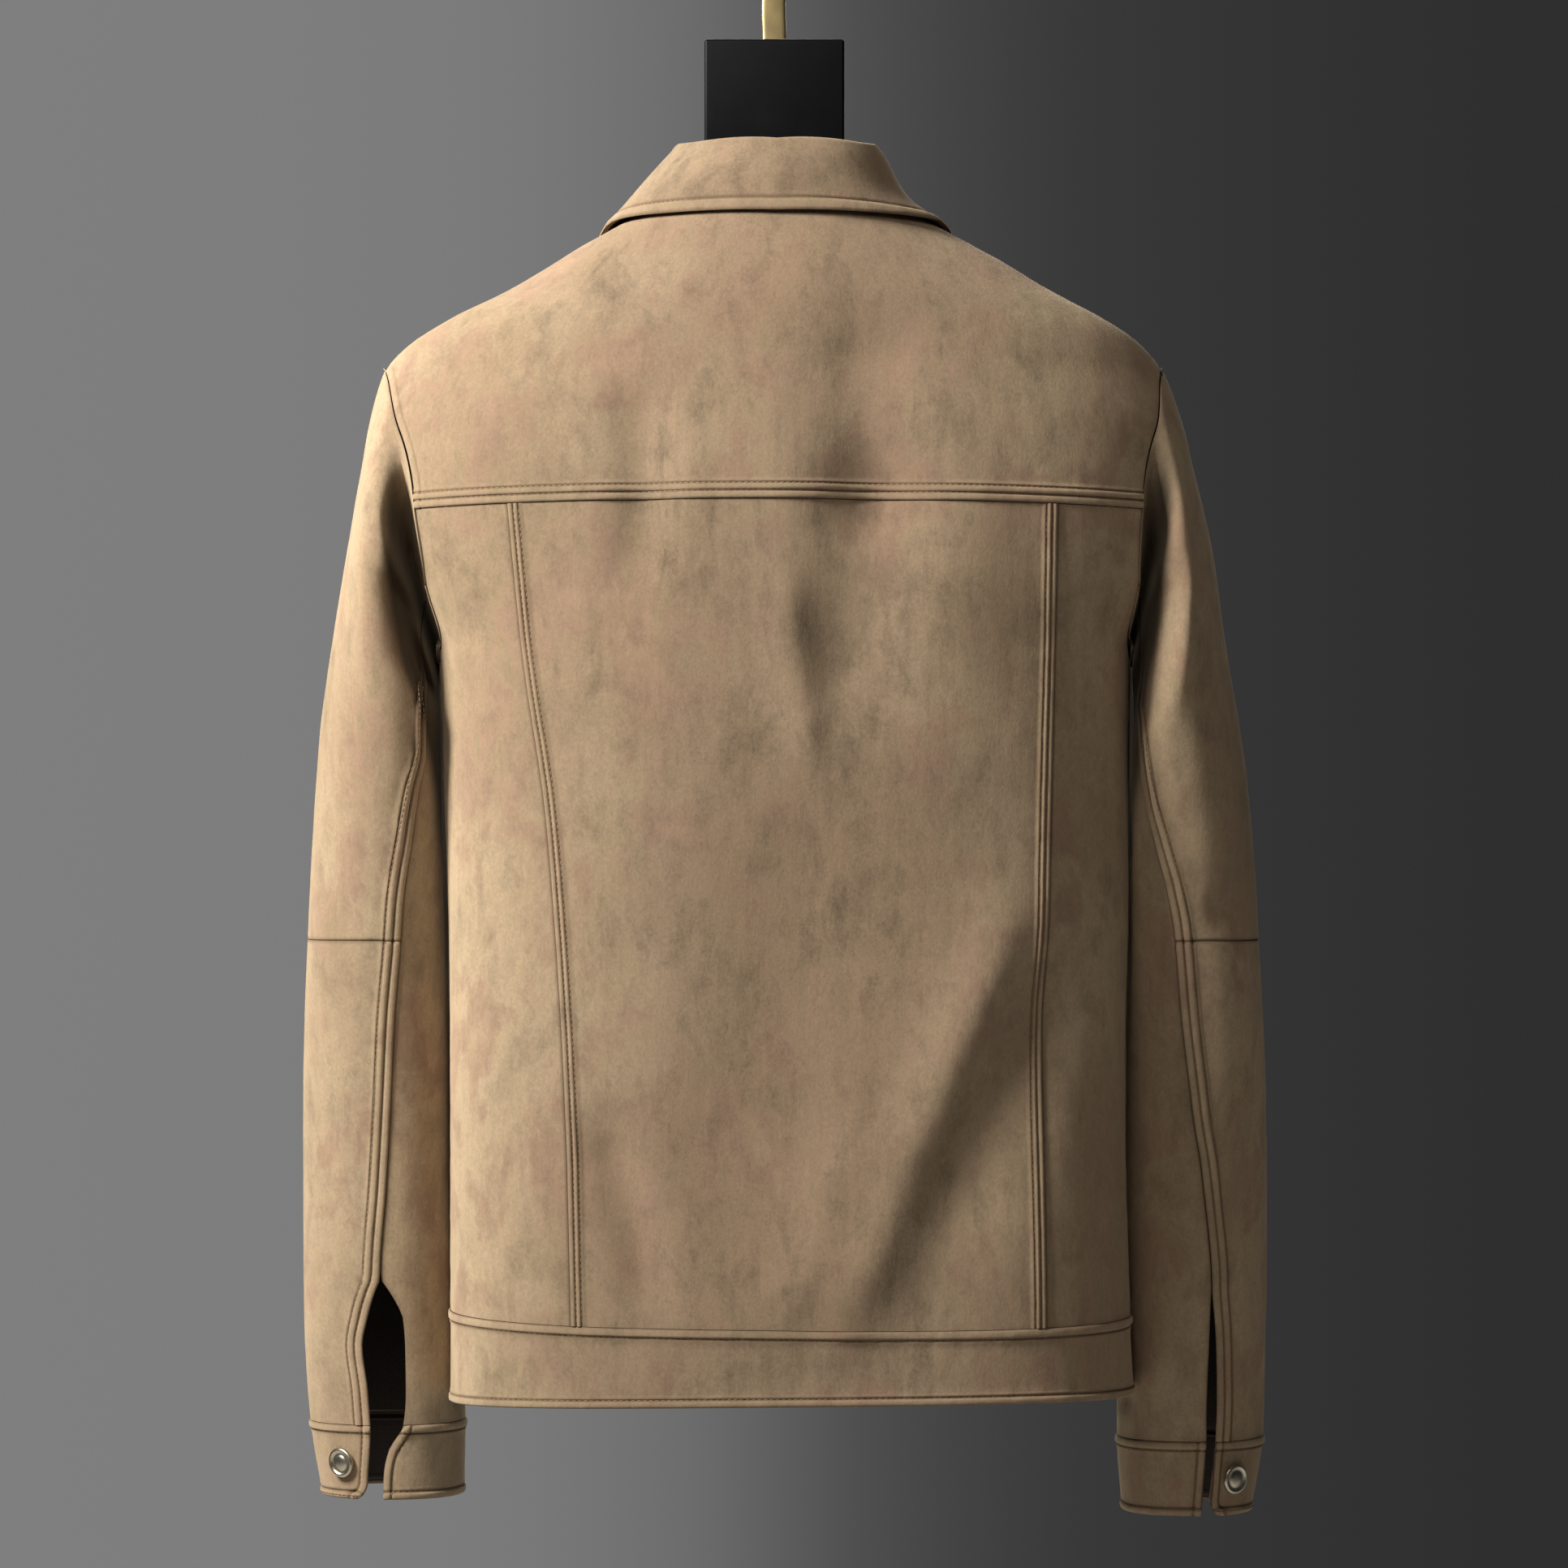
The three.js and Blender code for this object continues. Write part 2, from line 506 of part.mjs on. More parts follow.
// Fronts: the wearer's left front ends at a sewn-on placket, and the right one runs on under it

const frontX = (x) => (row) => angleAtX(row, x, 1);
const underPlacket = (x) => -(SUEDE + 2 * SEAM_GAP) * (1 - smoothstep(x, PLACKET_HALF + 1, PLACKET_HALF + 12));

function addFronts() {
  const leftEdge = (row) => angleAtX(row, -PLACKET_HALF, 1) - 360;
  const leftSide = (row) => -sideEdge(row, 1);
  addMesh("front_left", clothWall(FRONT_ROWS, spread(leftEdge, leftSide, 8), bodySurface), "suede");

  const rightSide = (row) => sideEdge(row, 1);
  const beyond = frontX(PLACKET_HALF + 12);
  const rightColumns = [...spread(rightSide, beyond, 8), frontX(PLACKET_HALF + 1), frontX(3), frontX(-UNDERLAP)];
  const surface = (row, angle) => {
    const point = bodyPoint(row, angle);
    return point.addScaledVector(bodyNormal(row, angle), underPlacket(point.x));
  };
  addMesh("front_right", clothWall(FRONT_ROWS, rightColumns, { surface, normal: bodyNormal }), "suede");

  const placketColumns = [frontX(PLACKET_HALF), frontX(0), frontX(-PLACKET_HALF)];
  addMesh("front_placket", clothWall(FRONT_ROWS, placketColumns, bodySurface), "suede");
}

// Hem band: one strip round the body whose left end lies over its right end at the centre front

function addHemBand() {
  const rows = [
    BAND_BOTTOM,
    BAND_BOTTOM + RIB,
    BAND_BOTTOM + RIB + LAP_EDGE,
    BAND_TOP - RIB - LAP_EDGE,
    BAND_TOP - RIB,
    BAND_TOP,
  ];
  const start = (row) => angleAtX(row, PLACKET_HALF, 1) - 360;
  const beyond = frontX(PLACKET_HALF + 12);
  const columns = [...spread(start, beyond, 44), frontX(PLACKET_HALF + 1), frontX(3), frontX(-UNDERLAP)];
  const surface = (row, angle) => {
    const point = bodyPoint(row, angle);
    const sunk = angle > 0 && point.y > 0 ? underPlacket(point.x) : 0;
    return point.addScaledVector(bodyNormal(row, angle), sunk);
  };
  const rise = (i, j) => (j < 2 || j > 3 ? LAP_RISE * 0.7 : 0);
  const covered = columns.length - 4;
  addMesh(
    "hem_band",
    clothWall(rows, columns, {
      surface,
      normal: bodyNormal,
      rise: (i, j) => (i > covered ? 0 : rise(i, j)),
    }),
    "suede",
  );
}

// Collar: a stand that rises from the neck seam, a roll, and a fall whose edge lies over the shoulders

const collarAt = curvesOf(COLLAR_STATIONS, "along");

function collarSection(along) {
  const q = Math.abs(along);
  const neckAngle = along * COLLAR.neckAngle;
  const neckOut = bodyNormal(NECK, neckAngle);
  const neck = bodyPoint(NECK, neckAngle);
  const onwards = neck.clone().sub(bodyPoint(NECK - 2, neckAngle)).normalize();
  const seam = neck.addScaledVector(neckOut, -COLLAR_CLOTH).addScaledVector(onwards, 2 * SEAM_GAP);
  const start = seam.clone().addScaledVector(onwards, COLLAR_CLOTH);
  const outwards = new THREE.Vector3(seam.x, seam.y, 0).normalize();
  const top = seam.clone().addScaledVector(outwards, -collarAt.lean(q)).addScaledVector(UP, collarAt.stand(q));
  const edgeAngle = along * COLLAR.pointAngle;
  const edgeRing = collarAt.edgeRing(q);
  const edgeOut = bodyNormal(edgeRing, edgeAngle);
  const edge = bodyPoint(edgeRing, edgeAngle).addScaledVector(edgeOut, COLLAR.clearance);
  const inside = top.clone().addScaledVector(UP, -COLLAR.roll);
  const outside = top
    .clone()
    .addScaledVector(outwards, 2 * COLLAR.roll)
    .addScaledVector(UP, -COLLAR.roll);
  const crest = top.clone().addScaledVector(outwards, COLLAR.roll);
  const tuck = along > 0 ? COLLAR.rightTuck * Math.sin(Math.PI * along) : 0;
  const belly = outside.clone().lerp(edge, 0.5).addScaledVector(edgeOut, collarAt.bulge(q) - tuck);
  return new THREE.CatmullRomCurve3([seam, start, inside, crest, outside, belly, edge], false, "centripetal");
}

const COLLAR_ROWS = [0, 0.2, 0.32, 0.37, 0.42, 0.48, 0.62, 0.8, 0.93, 0.965, 1];

function addCollar() {
  const surface = (row, along) => collarSection(along).getPoint(clamp(row, 0, 1));
  const normal = (row, along) => {
    const low = Math.max(0, row - 0.01);
    const high = Math.min(1, row + 0.01);
    const up = surface(high, along).sub(surface(low, along));
    const across = surface(row, clamp(along + 0.01, -1, 1)).sub(surface(row, clamp(along - 0.01, -1, 1)));
    return up.cross(across).normalize();
  };
  const columns = evenly(-1, 1, 34).map((along) => () => along);
  const geometry = clothWall(COLLAR_ROWS, columns, { surface, normal, facing: -1, thickness: COLLAR_CLOTH });
  addMesh("collar", geometry, "suede");
}

const ARMHOLE_GAP = 0.8;

// Sleeves as surfaces over drop and angle, the angle running from the outer side round the back

function sleeveSurface(sleeve) {
  const section = curvesOf(sleeve.rings, "drop");
  return (drop, angle) => {
    const turn = degToRad(angle);
    const height = SHOULDER_TIP - drop - (section.tilt(drop) * (1 - Math.cos(turn))) / 2;
    const middle = (section.outer(drop) + section.inner(drop)) / 2;
    const half = (section.outer(drop) - section.inner(drop)) / 2;
    const out = middle + half * Math.sign(Math.cos(turn)) * Math.abs(Math.cos(turn)) ** 0.92;
    const deep = Math.sign(Math.sin(turn)) * Math.abs(Math.sin(turn)) ** 0.92;
    const y = section.forward(drop) - section.depth(drop) * deep;
    const tube = new THREE.Vector3(sleeve.side * out, y, height - HOOK_TO_HEM);
    const sewn = armholePoint(sleeve.side, angle);
    sewn.x += sleeve.side * ARMHOLE_GAP;
    return tube.lerp(sewn, 1 - smoothstep(drop, 0, 40));
  };
}

// A fold's distance round the sleeve is taken at about 0.95 mm a degree
const ROUND_MM = 0.95;

function addSleeveFolds(base, sleeve) {
  const normal = sleeveNormal(base, sleeve);
  const folds = [...SLEEVE_FOLDS, sleeve.side < 0 ? LEFT_SLEEVE_RIDGE : RIGHT_SLEEVE_RIDGE];
  const hollows = sleeve.side < 0 ? LEFT_HOLLOWS : RIGHT_HOLLOWS;
  const riseAt = (lines, drop, round) =>
    foldRise(
      lines,
      (fold) => new THREE.Vector2(fold.drop0, fold.angle0 * ROUND_MM),
      (fold) => new THREE.Vector2(fold.drop1, fold.angle1 * ROUND_MM),
      drop,
      round * ROUND_MM,
    );
  return (drop, angle) => {
    const round = ((angle % 360) + 360) % 360;
    const away = smoothstep(drop, 2.5, 15) * (1 - smoothstep(drop, sleeve.slitTop - 20, sleeve.slitTop));
    const rise = (riseAt(folds, drop, round) + riseAt(folds, drop, round - 360)) * away;
    const point = base(drop, angle).addScaledVector(normal(drop, angle), rise);
    point.y -= riseAt(hollows, drop, round) * away;
    return clearOfBody(point, sleeve.side);
  };
}

const sleeveNormal = (base, sleeve) => (drop, angle) => {
  const at = Math.max(drop, 1.5);
  return normalOf(base, at, angle, 1.4).multiplyScalar(sleeve.side);
};

const BODY_CLEARANCE = 2;

// Below the underarm a sleeve that would touch the body lies against it instead
function clearOfBody(point, side) {
  const height = point.z + HOOK_TO_HEM;
  if (height > UNDERARM + 10 || height < -4) return point;
  const level = Math.max(height, BAND_BOTTOM);
  const depth = point.y < 0 ? ring.back(level) : ring.front(level);
  const power = ring.power(level);
  const share = 1 - Math.min(1, Math.abs(point.y) / depth) ** power;
  const bodyOut = ring.half(level) * share ** (1 / power) + side * ring.middle(level) + BODY_CLEARANCE;
  if (share > 0 && side * point.x < bodyOut) point.x = side * bodyOut;
  return point;
}

// In the hollow by the armhole the back seam lies flat
const HOLLOW_END = 90;
const UPPER_DROPS = [0, 6, 14, 30, 54, 78, 103, 147, 190, 235, 255, 275, 292, ELBOW_DROP];
const sleeveDrops = (from, sleeve) => sleeve.rings.map((row) => row.drop).filter((d) => d > from);

function addSleeve(which) {
  const sleeve = SLEEVES[which];
  const plain = sleeveSurface(sleeve);
  const surface = addSleeveFolds(plain, sleeve);
  const normal = sleeveNormal(plain, sleeve);
  const cloth = { surface, normal, facing: sleeve.side };
  const seam = curveOf(sleeve.rings, "drop", "seam");
  const slit = curvesOf(sleeve.slitEdge, "drop");
  const tabEdge = (drop) => (drop < sleeve.slitTop ? seam(drop) : slit.tab(drop));
  const underEdge = (drop) => (drop < sleeve.slitTop ? seam(drop) : slit.under(drop));
  const frontEdge = () => FRONT_SEAM_ANGLE - 360;
  const lapColumns = [
    ...spread(frontEdge, (drop) => tabEdge(drop) - LAP - LAP_EDGE, 14),
    (drop) => tabEdge(drop) - LAP,
    tabEdge,
  ];
  const lapFrom = lapColumns.length - 3;
  const rise = (i, j) => (i > lapFrom && UPPER_DROPS[j] > HOLLOW_END ? LAP_RISE : 0);

  addMesh(`sleeve_upper_${which}`, clothWall(UPPER_DROPS, lapColumns, { ...cloth, rise }), "suede");

  const lowerDrops = [ELBOW_DROP, 328, ...sleeveDrops(ELBOW_DROP, sleeve).filter((d) => d <= sleeve.cuffTop)];
  const forearmRise = (i) => (i > lapFrom ? LAP_RISE : 0);
  addMesh(
    `sleeve_forearm_${which}`,
    clothWall(lowerDrops, lapColumns, { ...cloth, rise: forearmRise }),
    "suede",
  );

  const underDrops = [...UPPER_DROPS, ...lowerDrops.slice(1)];
  const underColumns = spread(underEdge, () => FRONT_SEAM_ANGLE, 8);
  addMesh(`sleeve_under_${which}`, clothWall(underDrops, underColumns, cloth), "suede");

  const cuffDrops = [
    sleeve.cuffTop,
    sleeve.cuffTop + 6,
    (sleeve.cuffTop + sleeve.cuffEnd) / 2,
    sleeve.cuffEnd - 8,
    sleeve.cuffEnd - 3,
    sleeve.cuffEnd,
  ];
  const roundedTab = (drop) => {
    const past = clamp((drop - (sleeve.cuffEnd - 10)) / 10, 0, 1);
    return 360 + slit.tab(drop) - 12 * (1 - Math.sqrt(1 - past * past));
  };
  const cuffRise = (i, j) => (j < 2 ? LAP_RISE * 0.7 : 0);
  const cuff = clothWall(cuffDrops, spread(slit.under, roundedTab, 22), { ...cloth, rise: cuffRise });
  addMesh(`cuff_${which}`, cuff, "suede");

  const buttonDrop = (sleeve.cuffTop + sleeve.cuffEnd) / 2;
  addButton(
    `cuff_button_${which}`,
    surface(buttonDrop, sleeve.buttonAngle),
    normal(buttonDrop, sleeve.buttonAngle),
  );
}

// A domed metal button with a raised rim, set on the cloth

function addButton(name, place, out) {
  const rim = BUTTON_RADIUS;
  const profile = [
    [0, 0],
    [rim - 1.2, 0],
    [rim, 1.2],
    [rim - 0.5, 2.8],
    [rim - 1.8, 3],
    [rim - 2.6, 2.2],
    [2.4, 2.9],
    [0, 3.2],
  ].map(([radius, height]) => new THREE.Vector2(radius, height));
  const geometry = new THREE.LatheGeometry(profile, 18);
  const seat = place.clone().addScaledVector(out, SEAM_GAP + 0.2);
  const turn = new THREE.Quaternion().setFromUnitVectors(new THREE.Vector3(0, 1, 0), out);
  geometry.applyQuaternion(turn).translate(seat.x, seat.y, seat.z);
  addMesh(name, geometry, "button");
}

function addFrontButtons() {
  FRONT_BUTTON_HEIGHTS.forEach((side, i) => {
    const angle = angleAtX(side, 0, 1);
    addButton(`front_button_${i + 1}`, bodyPoint(side, angle), bodyNormal(side, angle));
  });
  const angle = angleAtX(BAND_BUTTON_HEIGHT, 0, 1);
  addButton("hem_band_button", bodyPoint(BAND_BUTTON_HEIGHT, angle), bodyNormal(BAND_BUTTON_HEIGHT, angle));
}

// Hanger: arms under the shoulders, a flat head plate and a flat-bar hook

// The height of the shoulders' surface over a point of the plan, or nothing over the neck
function shoulderHeight(x, y) {
  const outside = (side) => {
    const depth = y < 0 ? ring.back(side) : ring.front(side);
    const power = ring.power(side);
    const across = Math.abs((x - ring.middle(side)) / ring.half(side));
    return across ** power + Math.abs(y / depth) ** power - 1;
  };
  if (outside(NECK) < 0) return Infinity;
  let [low, high] = [YOKE_SEAM, NECK];
  for (let i = 0; i < 30; i += 1) {
    const middle = (low + high) / 2;
    if (outside(middle) < 0) low = middle;
    else high = middle;
  }
  const depth = y < 0 ? ring.back(low) : ring.front(low);
  const endHeight = y < 0 ? ring.backHeight(low) : ring.frontHeight(low);
  return lerp(low, endHeight, Math.min(1, Math.abs(y) / depth) ** (0.75 * ring.power(low)));
}

function addHangerArms() {
  const arm = curvesOf(HANGER_ARM, "out");
  const reach = HANGER_ARM.at(-1).out;
  const stations = [-reach - 4, ...evenly(-reach, reach, 26), reach + 4];
  const sides = 14;
  const points = stations.flatMap((x) => {
    const out = Math.min(Math.abs(x), reach);
    const shrink = Math.abs(x) > reach ? 0.55 : 1;
    const half = arm.height(out) / 2;
    const drop = Math.abs(x) > reach ? 3 : 0;
    return Array.from({ length: sides }, (_, k) => {
      const turn = (k / sides) * 2 * Math.PI;
      const y = shrink * arm.halfDepth(out) * Math.cos(turn);
      const crest = Math.min(arm.top(out), shoulderHeight(x, 0) - ARM_UNDER_SHOULDER);
      const round = crest - half - drop + shrink * half * Math.sin(turn);
      const height = Math.min(round, shoulderHeight(x, y) - ARM_UNDER_SHOULDER);
      return new THREE.Vector3(x, y, height - HOOK_TO_HEM);
    });
  });
  const index = [];
  for (let s = 0; s < stations.length - 1; s += 1) {
    for (let k = 0; k < sides; k += 1) {
      const [a, b] = [s * sides + k, s * sides + ((k + 1) % sides)];
      index.push(a, b, b + sides, a, b + sides, a + sides);
    }
  }
  const end = (stations.length - 1) * sides;
  for (let k = 1; k < sides - 1; k += 1) {
    index.push(0, k + 1, k);
    index.push(end, end + k, end + k + 1);
  }
  const geometry = new THREE.BufferGeometry();
  geometry.setAttribute("position", new THREE.Float32BufferAttribute(points.flatMap((p) => p.toArray()), 3));
  geometry.setIndex(index);
  addMesh("hanger_arms", geometry, "hangerBlack");
}

function addHangerPlate() {
  const { width, thickness, top, bottom } = HANGER.plate;
  const geometry = new THREE.BoxGeometry(width, thickness, top - bottom);
  geometry.translate(HANGER.middle, 0, (top + bottom) / 2 - HOOK_TO_HEM);
  addMesh("hanger_plate", geometry, "hangerBlack");
}

function addHook() {
  const { width, thickness, innerRadius, bevel } = HANGER.bar;
  const radius = innerRadius + width / 2;
  const foot = HANGER.plate.top + SEAM_GAP - HOOK_TO_HEM;
  const centre = -innerRadius;
  const round = evenly(0, 200, 8).map((angle) => [
    radius * Math.cos(degToRad(angle)),
    centre + radius * Math.sin(degToRad(angle)),
  ]);
  const stem = HANGER.middle;
  const line = [[stem, foot], [stem, foot + 24], [5, foot + 33], [17, foot + 45], ...round];
  const path = new THREE.SplineCurve(line.map(([x, y]) => new THREE.Vector2(x, y)));
  const steps = 34;
  const edge = (aside) =>
    evenly(0, 1, steps).map((t) => {
      const along = path.getTangent(t);
      return path.getPoint(t).add(new THREE.Vector2(along.y, -along.x).multiplyScalar(aside));
    });
  const half = width / 2 - bevel;
  const outline = [...edge(half), ...edge(-half).reverse()];
  const geometry = new THREE.ExtrudeGeometry(new THREE.Shape(outline), {
    depth: thickness - 2 * bevel,
    bevelEnabled: true,
    bevelThickness: bevel,
    bevelSize: bevel,
    bevelSegments: 1,
  });
  geometry.rotateX(Math.PI / 2);
  geometry.translate(0, thickness / 2 - bevel, 0.6 * bevel);
  addMesh("hanger_hook", geometry, "brass");
}

addBack();
addFronts();
addHemBand();
addCollar();
Object.keys(SLEEVES).forEach(addSleeve);
addFrontButtons();
addHangerArms();
addHangerPlate();
addHook();

export default jacket;
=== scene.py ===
"""A suede trucker jacket on a flat-headed hanger, hung with its back to the camera.

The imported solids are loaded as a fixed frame. Every sewn piece is made again here as fine cloth on the same
form, with its laps, topstitching and folds, and the metal and plastic pieces are made finer and finished.

Tables and sizes are in millimetres. Heights are measured up from the hem, and angles run round the body from
the centre back. Meshes are in metres, from the inside top of the hook. -Y is the back of the jacket.
"""

from __future__ import annotations

import logging
import math
from dataclasses import dataclass, field, replace
from enum import Enum
from typing import Any, Callable, Sequence

import bmesh
import bpy
import numpy as np
from mathutils import Matrix, Vector, noise

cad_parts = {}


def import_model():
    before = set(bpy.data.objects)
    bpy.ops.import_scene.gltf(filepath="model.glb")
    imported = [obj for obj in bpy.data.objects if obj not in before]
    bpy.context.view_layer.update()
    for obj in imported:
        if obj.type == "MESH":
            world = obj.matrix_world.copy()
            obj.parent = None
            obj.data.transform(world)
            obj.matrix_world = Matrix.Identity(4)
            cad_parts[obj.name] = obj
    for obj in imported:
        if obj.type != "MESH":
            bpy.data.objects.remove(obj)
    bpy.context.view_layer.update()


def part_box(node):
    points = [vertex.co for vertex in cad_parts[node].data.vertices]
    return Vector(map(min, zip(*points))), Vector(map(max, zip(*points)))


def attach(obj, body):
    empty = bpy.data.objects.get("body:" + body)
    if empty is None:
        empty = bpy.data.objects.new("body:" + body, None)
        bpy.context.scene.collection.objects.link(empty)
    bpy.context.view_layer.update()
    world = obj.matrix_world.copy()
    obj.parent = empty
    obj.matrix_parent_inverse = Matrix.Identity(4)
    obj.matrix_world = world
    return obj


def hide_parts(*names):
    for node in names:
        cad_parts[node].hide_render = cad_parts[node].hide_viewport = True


LOG = logging.getLogger("jacket")
Array = np.ndarray
Surface = Callable[[Array, Array], Array]
Bound = Callable[[Array], Array]

MM = 0.001
BODY = "root"

HOOK_TO_HEM = 816.0
SUEDE = 2.0
COLLAR_CLOTH = 2.4
SEAM_GAP = 0.3
BAND_BOTTOM = 4.0
BAND_TOP = 50.0
UNDERARM = 402.0
SHOULDER_TIP = 560.0
YOKE_SEAM = (UNDERARM + SHOULDER_TIP) / 2
NECK = 645.0
PLACKET_HALF = 19.0
UNDERLAP = 10.0
ARMHOLE_HALF_DEPTH = 56.0
ARMHOLE_GAP = 0.45
SHOULDER_SEAM_SHIFT = 14.0
BODY_CLEARANCE = 2.0

# A degree round a sleeve is about this many millimetres
ROUND_MM = 0.95

# A sleeve leaves the armhole's shape over the first drop, and its folds begin between the next two
SLEEVE_SET_DROP = 40.0
FOLDS_BEGIN = (2.5, 15.0)
SLEEVE_SQUARENESS = 0.92

# Rows of stitches, as distances in from a piece's edge
YOKE_GROOVES = (4.3, 8.4)
PRINCESS_GROOVES = (3.2, 6.2)
SLEEVE_GROOVES = (4.5, 9.0)
BAND_TOP_GROOVE = (5.0,)
HEM_GROOVE = (4.3,)
CUFF_GROOVE = (4.6,)
SLIT_GROOVE = (5.0,)
PLACKET_GROOVE = (5.0,)
COLLAR_GROOVE = (7.0,)
ARMHOLE_GROOVE = (5.0,)

# Rows of points beside an edge that has no stitches
PLAIN = np.array([0.0, 0.4, 1.0, 2.2])

# How the sewing lifts and sinks the cloth, and how far the painted shade of turned edges and grooves reaches
TURN_REACH = 1.1
TURN_SHADE_REACH = 1.8
PILLOW_RISE = 0.62
GROOVE_DEPTH = 0.8
GROOVE_HALF_WIDTH = 0.62
GROOVE_SHADE_HALF_WIDTH = 0.95
PUCKER_RISE = 0.28
PUCKER_REACH = 5.0


@dataclass(frozen=True)
class Table:
    """Rows of named columns, each column read as a smooth curve over the first one."""

    columns: tuple[str, ...]
    rows: tuple[tuple[float, ...], ...]

    def column(self, name: str) -> Array:
        """The numbers of one column."""
        place = self.columns.index(name)
        return np.array([row[place] for row in self.rows], float)

    def at(self, name: str, key: Array | float) -> Array:
        """Reads one column, flat beyond the table's ends.

        Args:
            name: The column to read.
            key: Places along the first column.

        Returns:
            The column's value at each place.
        """
        keys = self.column(self.columns[0])
        values = self.column(name)
        slopes = np.diff(values) / np.diff(keys)
        product = slopes[:-1] * slopes[1:]
        total = np.where(product > 0, slopes[:-1] + slopes[1:], 1.0)
        inner = np.where(product > 0, 2 * product / total, 0.0)
        tangents = np.concatenate(([slopes[0]], inner, [slopes[-1]]))
        place = np.clip(np.asarray(key, float), keys[0], keys[-1])
        i = np.clip(np.searchsorted(keys, place, side="right") - 1, 0, len(keys) - 2)
        step = keys[i + 1] - keys[i]
        t = (place - keys[i]) / step
        rise = t * t * (3 - 2 * t)
        leaving = t * (1 - t) ** 2 * step * tangents[i]
        arriving = t * t * (1 - t) * step * tangents[i + 1]
        return values[i] + (values[i + 1] - values[i]) * rise + leaving - arriving


RINGS = Table(
    ("side", "half", "middle", "back", "back_height", "front", "front_height", "power", "lean"),
    (
        (4, 185, 8.5, 99, 5, 90, 4, 3, 0.01),
        (50, 184, 7.5, 101, 46, 92, 50, 3, -0.008),
        (144, 183, 6, 100, 144, 94, 144, 2.95, 0),
        (232, 184, 6.4, 99, 232, 96, 232, 2.85, 0),
        (320, 185.5, 5.5, 102, 320, 99, 320, 2.7, 0),
        (408, 187.5, 4.5, 107, 408, 101, 406, 2.45, 0),
        (446, 210, 3, 109, 450, 98, 442, 2.2, 0),
        (484, 225, 1, 109, 490, 94, 478, 2.05, 0),
        (522, 229, 0.5, 106, 531, 91, 512, 1.95, 0),
        (560, 211, -1.5, 99, 568, 87, 544, 1.9, 0),
        (574, 199, -0.8, 96, 582, 85, 550, 1.87, 0),
        (588, 177.5, 0.8, 93, 595, 82, 556, 1.85, 0),
        (602, 149.5, 2, 88, 609, 79, 562, 1.85, 0),
        (616, 125.5, 1.5, 82, 622, 76, 568, 1.87, 0),
        (628, 105, 0, 75, 635, 72, 575, 1.9, 0),
        (637, 88, 0, 68, 646, 69, 580, 1.95, 0),
        (645, 72, 0, 61, 655, 66, 585, 2, 0),
    ),
)

BACK_SEAMS = Table(
    ("height", "left", "right"),
    (
        (50, -109, 143.5),
        (144, -111.5, 143),
        (232, -116, 144),
        (320, -123, 146),
        (408, -135.5, 148),
        (484, -143.3, 149.5),
    ),
)

SLEEVE_COLUMNS = ("drop", "outer", "inner", "tilt", "forward", "depth", "seam")
LEFT_SLEEVE = Table(
    SLEEVE_COLUMNS,
    (
        (0, 212.5, 184, 158, 0, 60, 120),
        (20, 219.8, 183.6, 143, 1.1, 62.4, 121.4),
        (54, 225.8, 183, 118, 3, 66, 124),
        (103, 234.2, 180, 92, 7, 69, 130),
        (147, 242, 179, 71, 11, 69, 131),
        (190, 248, 178, 51, 15, 68, 123),
        (235, 251.5, 177, 31, 20, 66, 116),
        (275, 254.5, 176, 13, 24, 64, 110),
        (309, 256.6, 175.5, 0, 27, 62, 107.5),
        (350, 258.4, 174.5, 0, 31, 59, 102.5),
        (395, 259.4, 174, 0, 35, 56, 99.5),
        (440, 259.6, 173, 0, 39, 53, 95.5),
        (493, 259.6, 172.5, 0, 43, 51, 91),
        (526, 259.2, 173.5, 0, 46, 50, 91),
        (573, 256, 171.5, 0, 49, 49, 91),
        (614, 249.4, 172, 0, 50, 48, 91),
    ),
)
RIGHT_SLEEVE = Table(
    SLEEVE_COLUMNS,
    (
        (0, 212, 193, 158, 0, 60, 120),
        (20, 218.6, 190.5, 143, 1.1, 62.4, 120.6),
        (54, 226.4, 187.5, 118, 3, 66, 122),
        (103, 237.7, 187, 92, 7, 69, 131),
        (147, 244.3, 186.5, 71, 11, 69, 132),
        (190, 251.5, 186.5, 51, 15, 68, 128),
        (235, 258, 186.5, 31, 20, 66, 118.5),
        (275, 261.8, 186.5, 13, 24, 64, 109),
        (309, 263.7, 186, 0, 27, 62, 103),
        (350, 266.4, 185.5, 0, 31, 59, 99),
        (395, 268.3, 187, 0, 35, 56, 94),
        (440, 268.5, 186, 0, 39, 53, 86),
        (500, 268.7, 185, 0, 43, 51, 78.9),
        (535, 268.5, 187, 0, 46, 50, 78.9),
        (557, 268.2, 187, 0, 47.4, 49.5, 78.9),
        (582, 267.4, 187, 0, 49, 49, 78.9),
        (623, 260.7, 190, 0, 50, 48, 78.9),
    ),
)
LEFT_SLIT = Table(
    ("drop", "tab", "under"),
    (
        (493, 91, 91),
        (505, 86.5, 100.5),
        (515, 83.5, 106.5),
        (530, 80, 108),
        (555, 82, 106.5),
        (573, 82, 103),
        (587, 80, 92),
        (600, 77, 88),
        (614, 74, 86),
    ),
)
RIGHT_SLIT = Table(
    ("drop", "tab", "under"),
    (
        (500, 78.9, 78.9),
        (520, 77, 80.5),
        (545, 76, 82),
        (565, 75.5, 82.5),
        (582, 76, 82),
        (623, 76, 82),
    ),
)
ELBOW_DROP = 309.0
FRONT_SEAM_ANGLE = 240.0

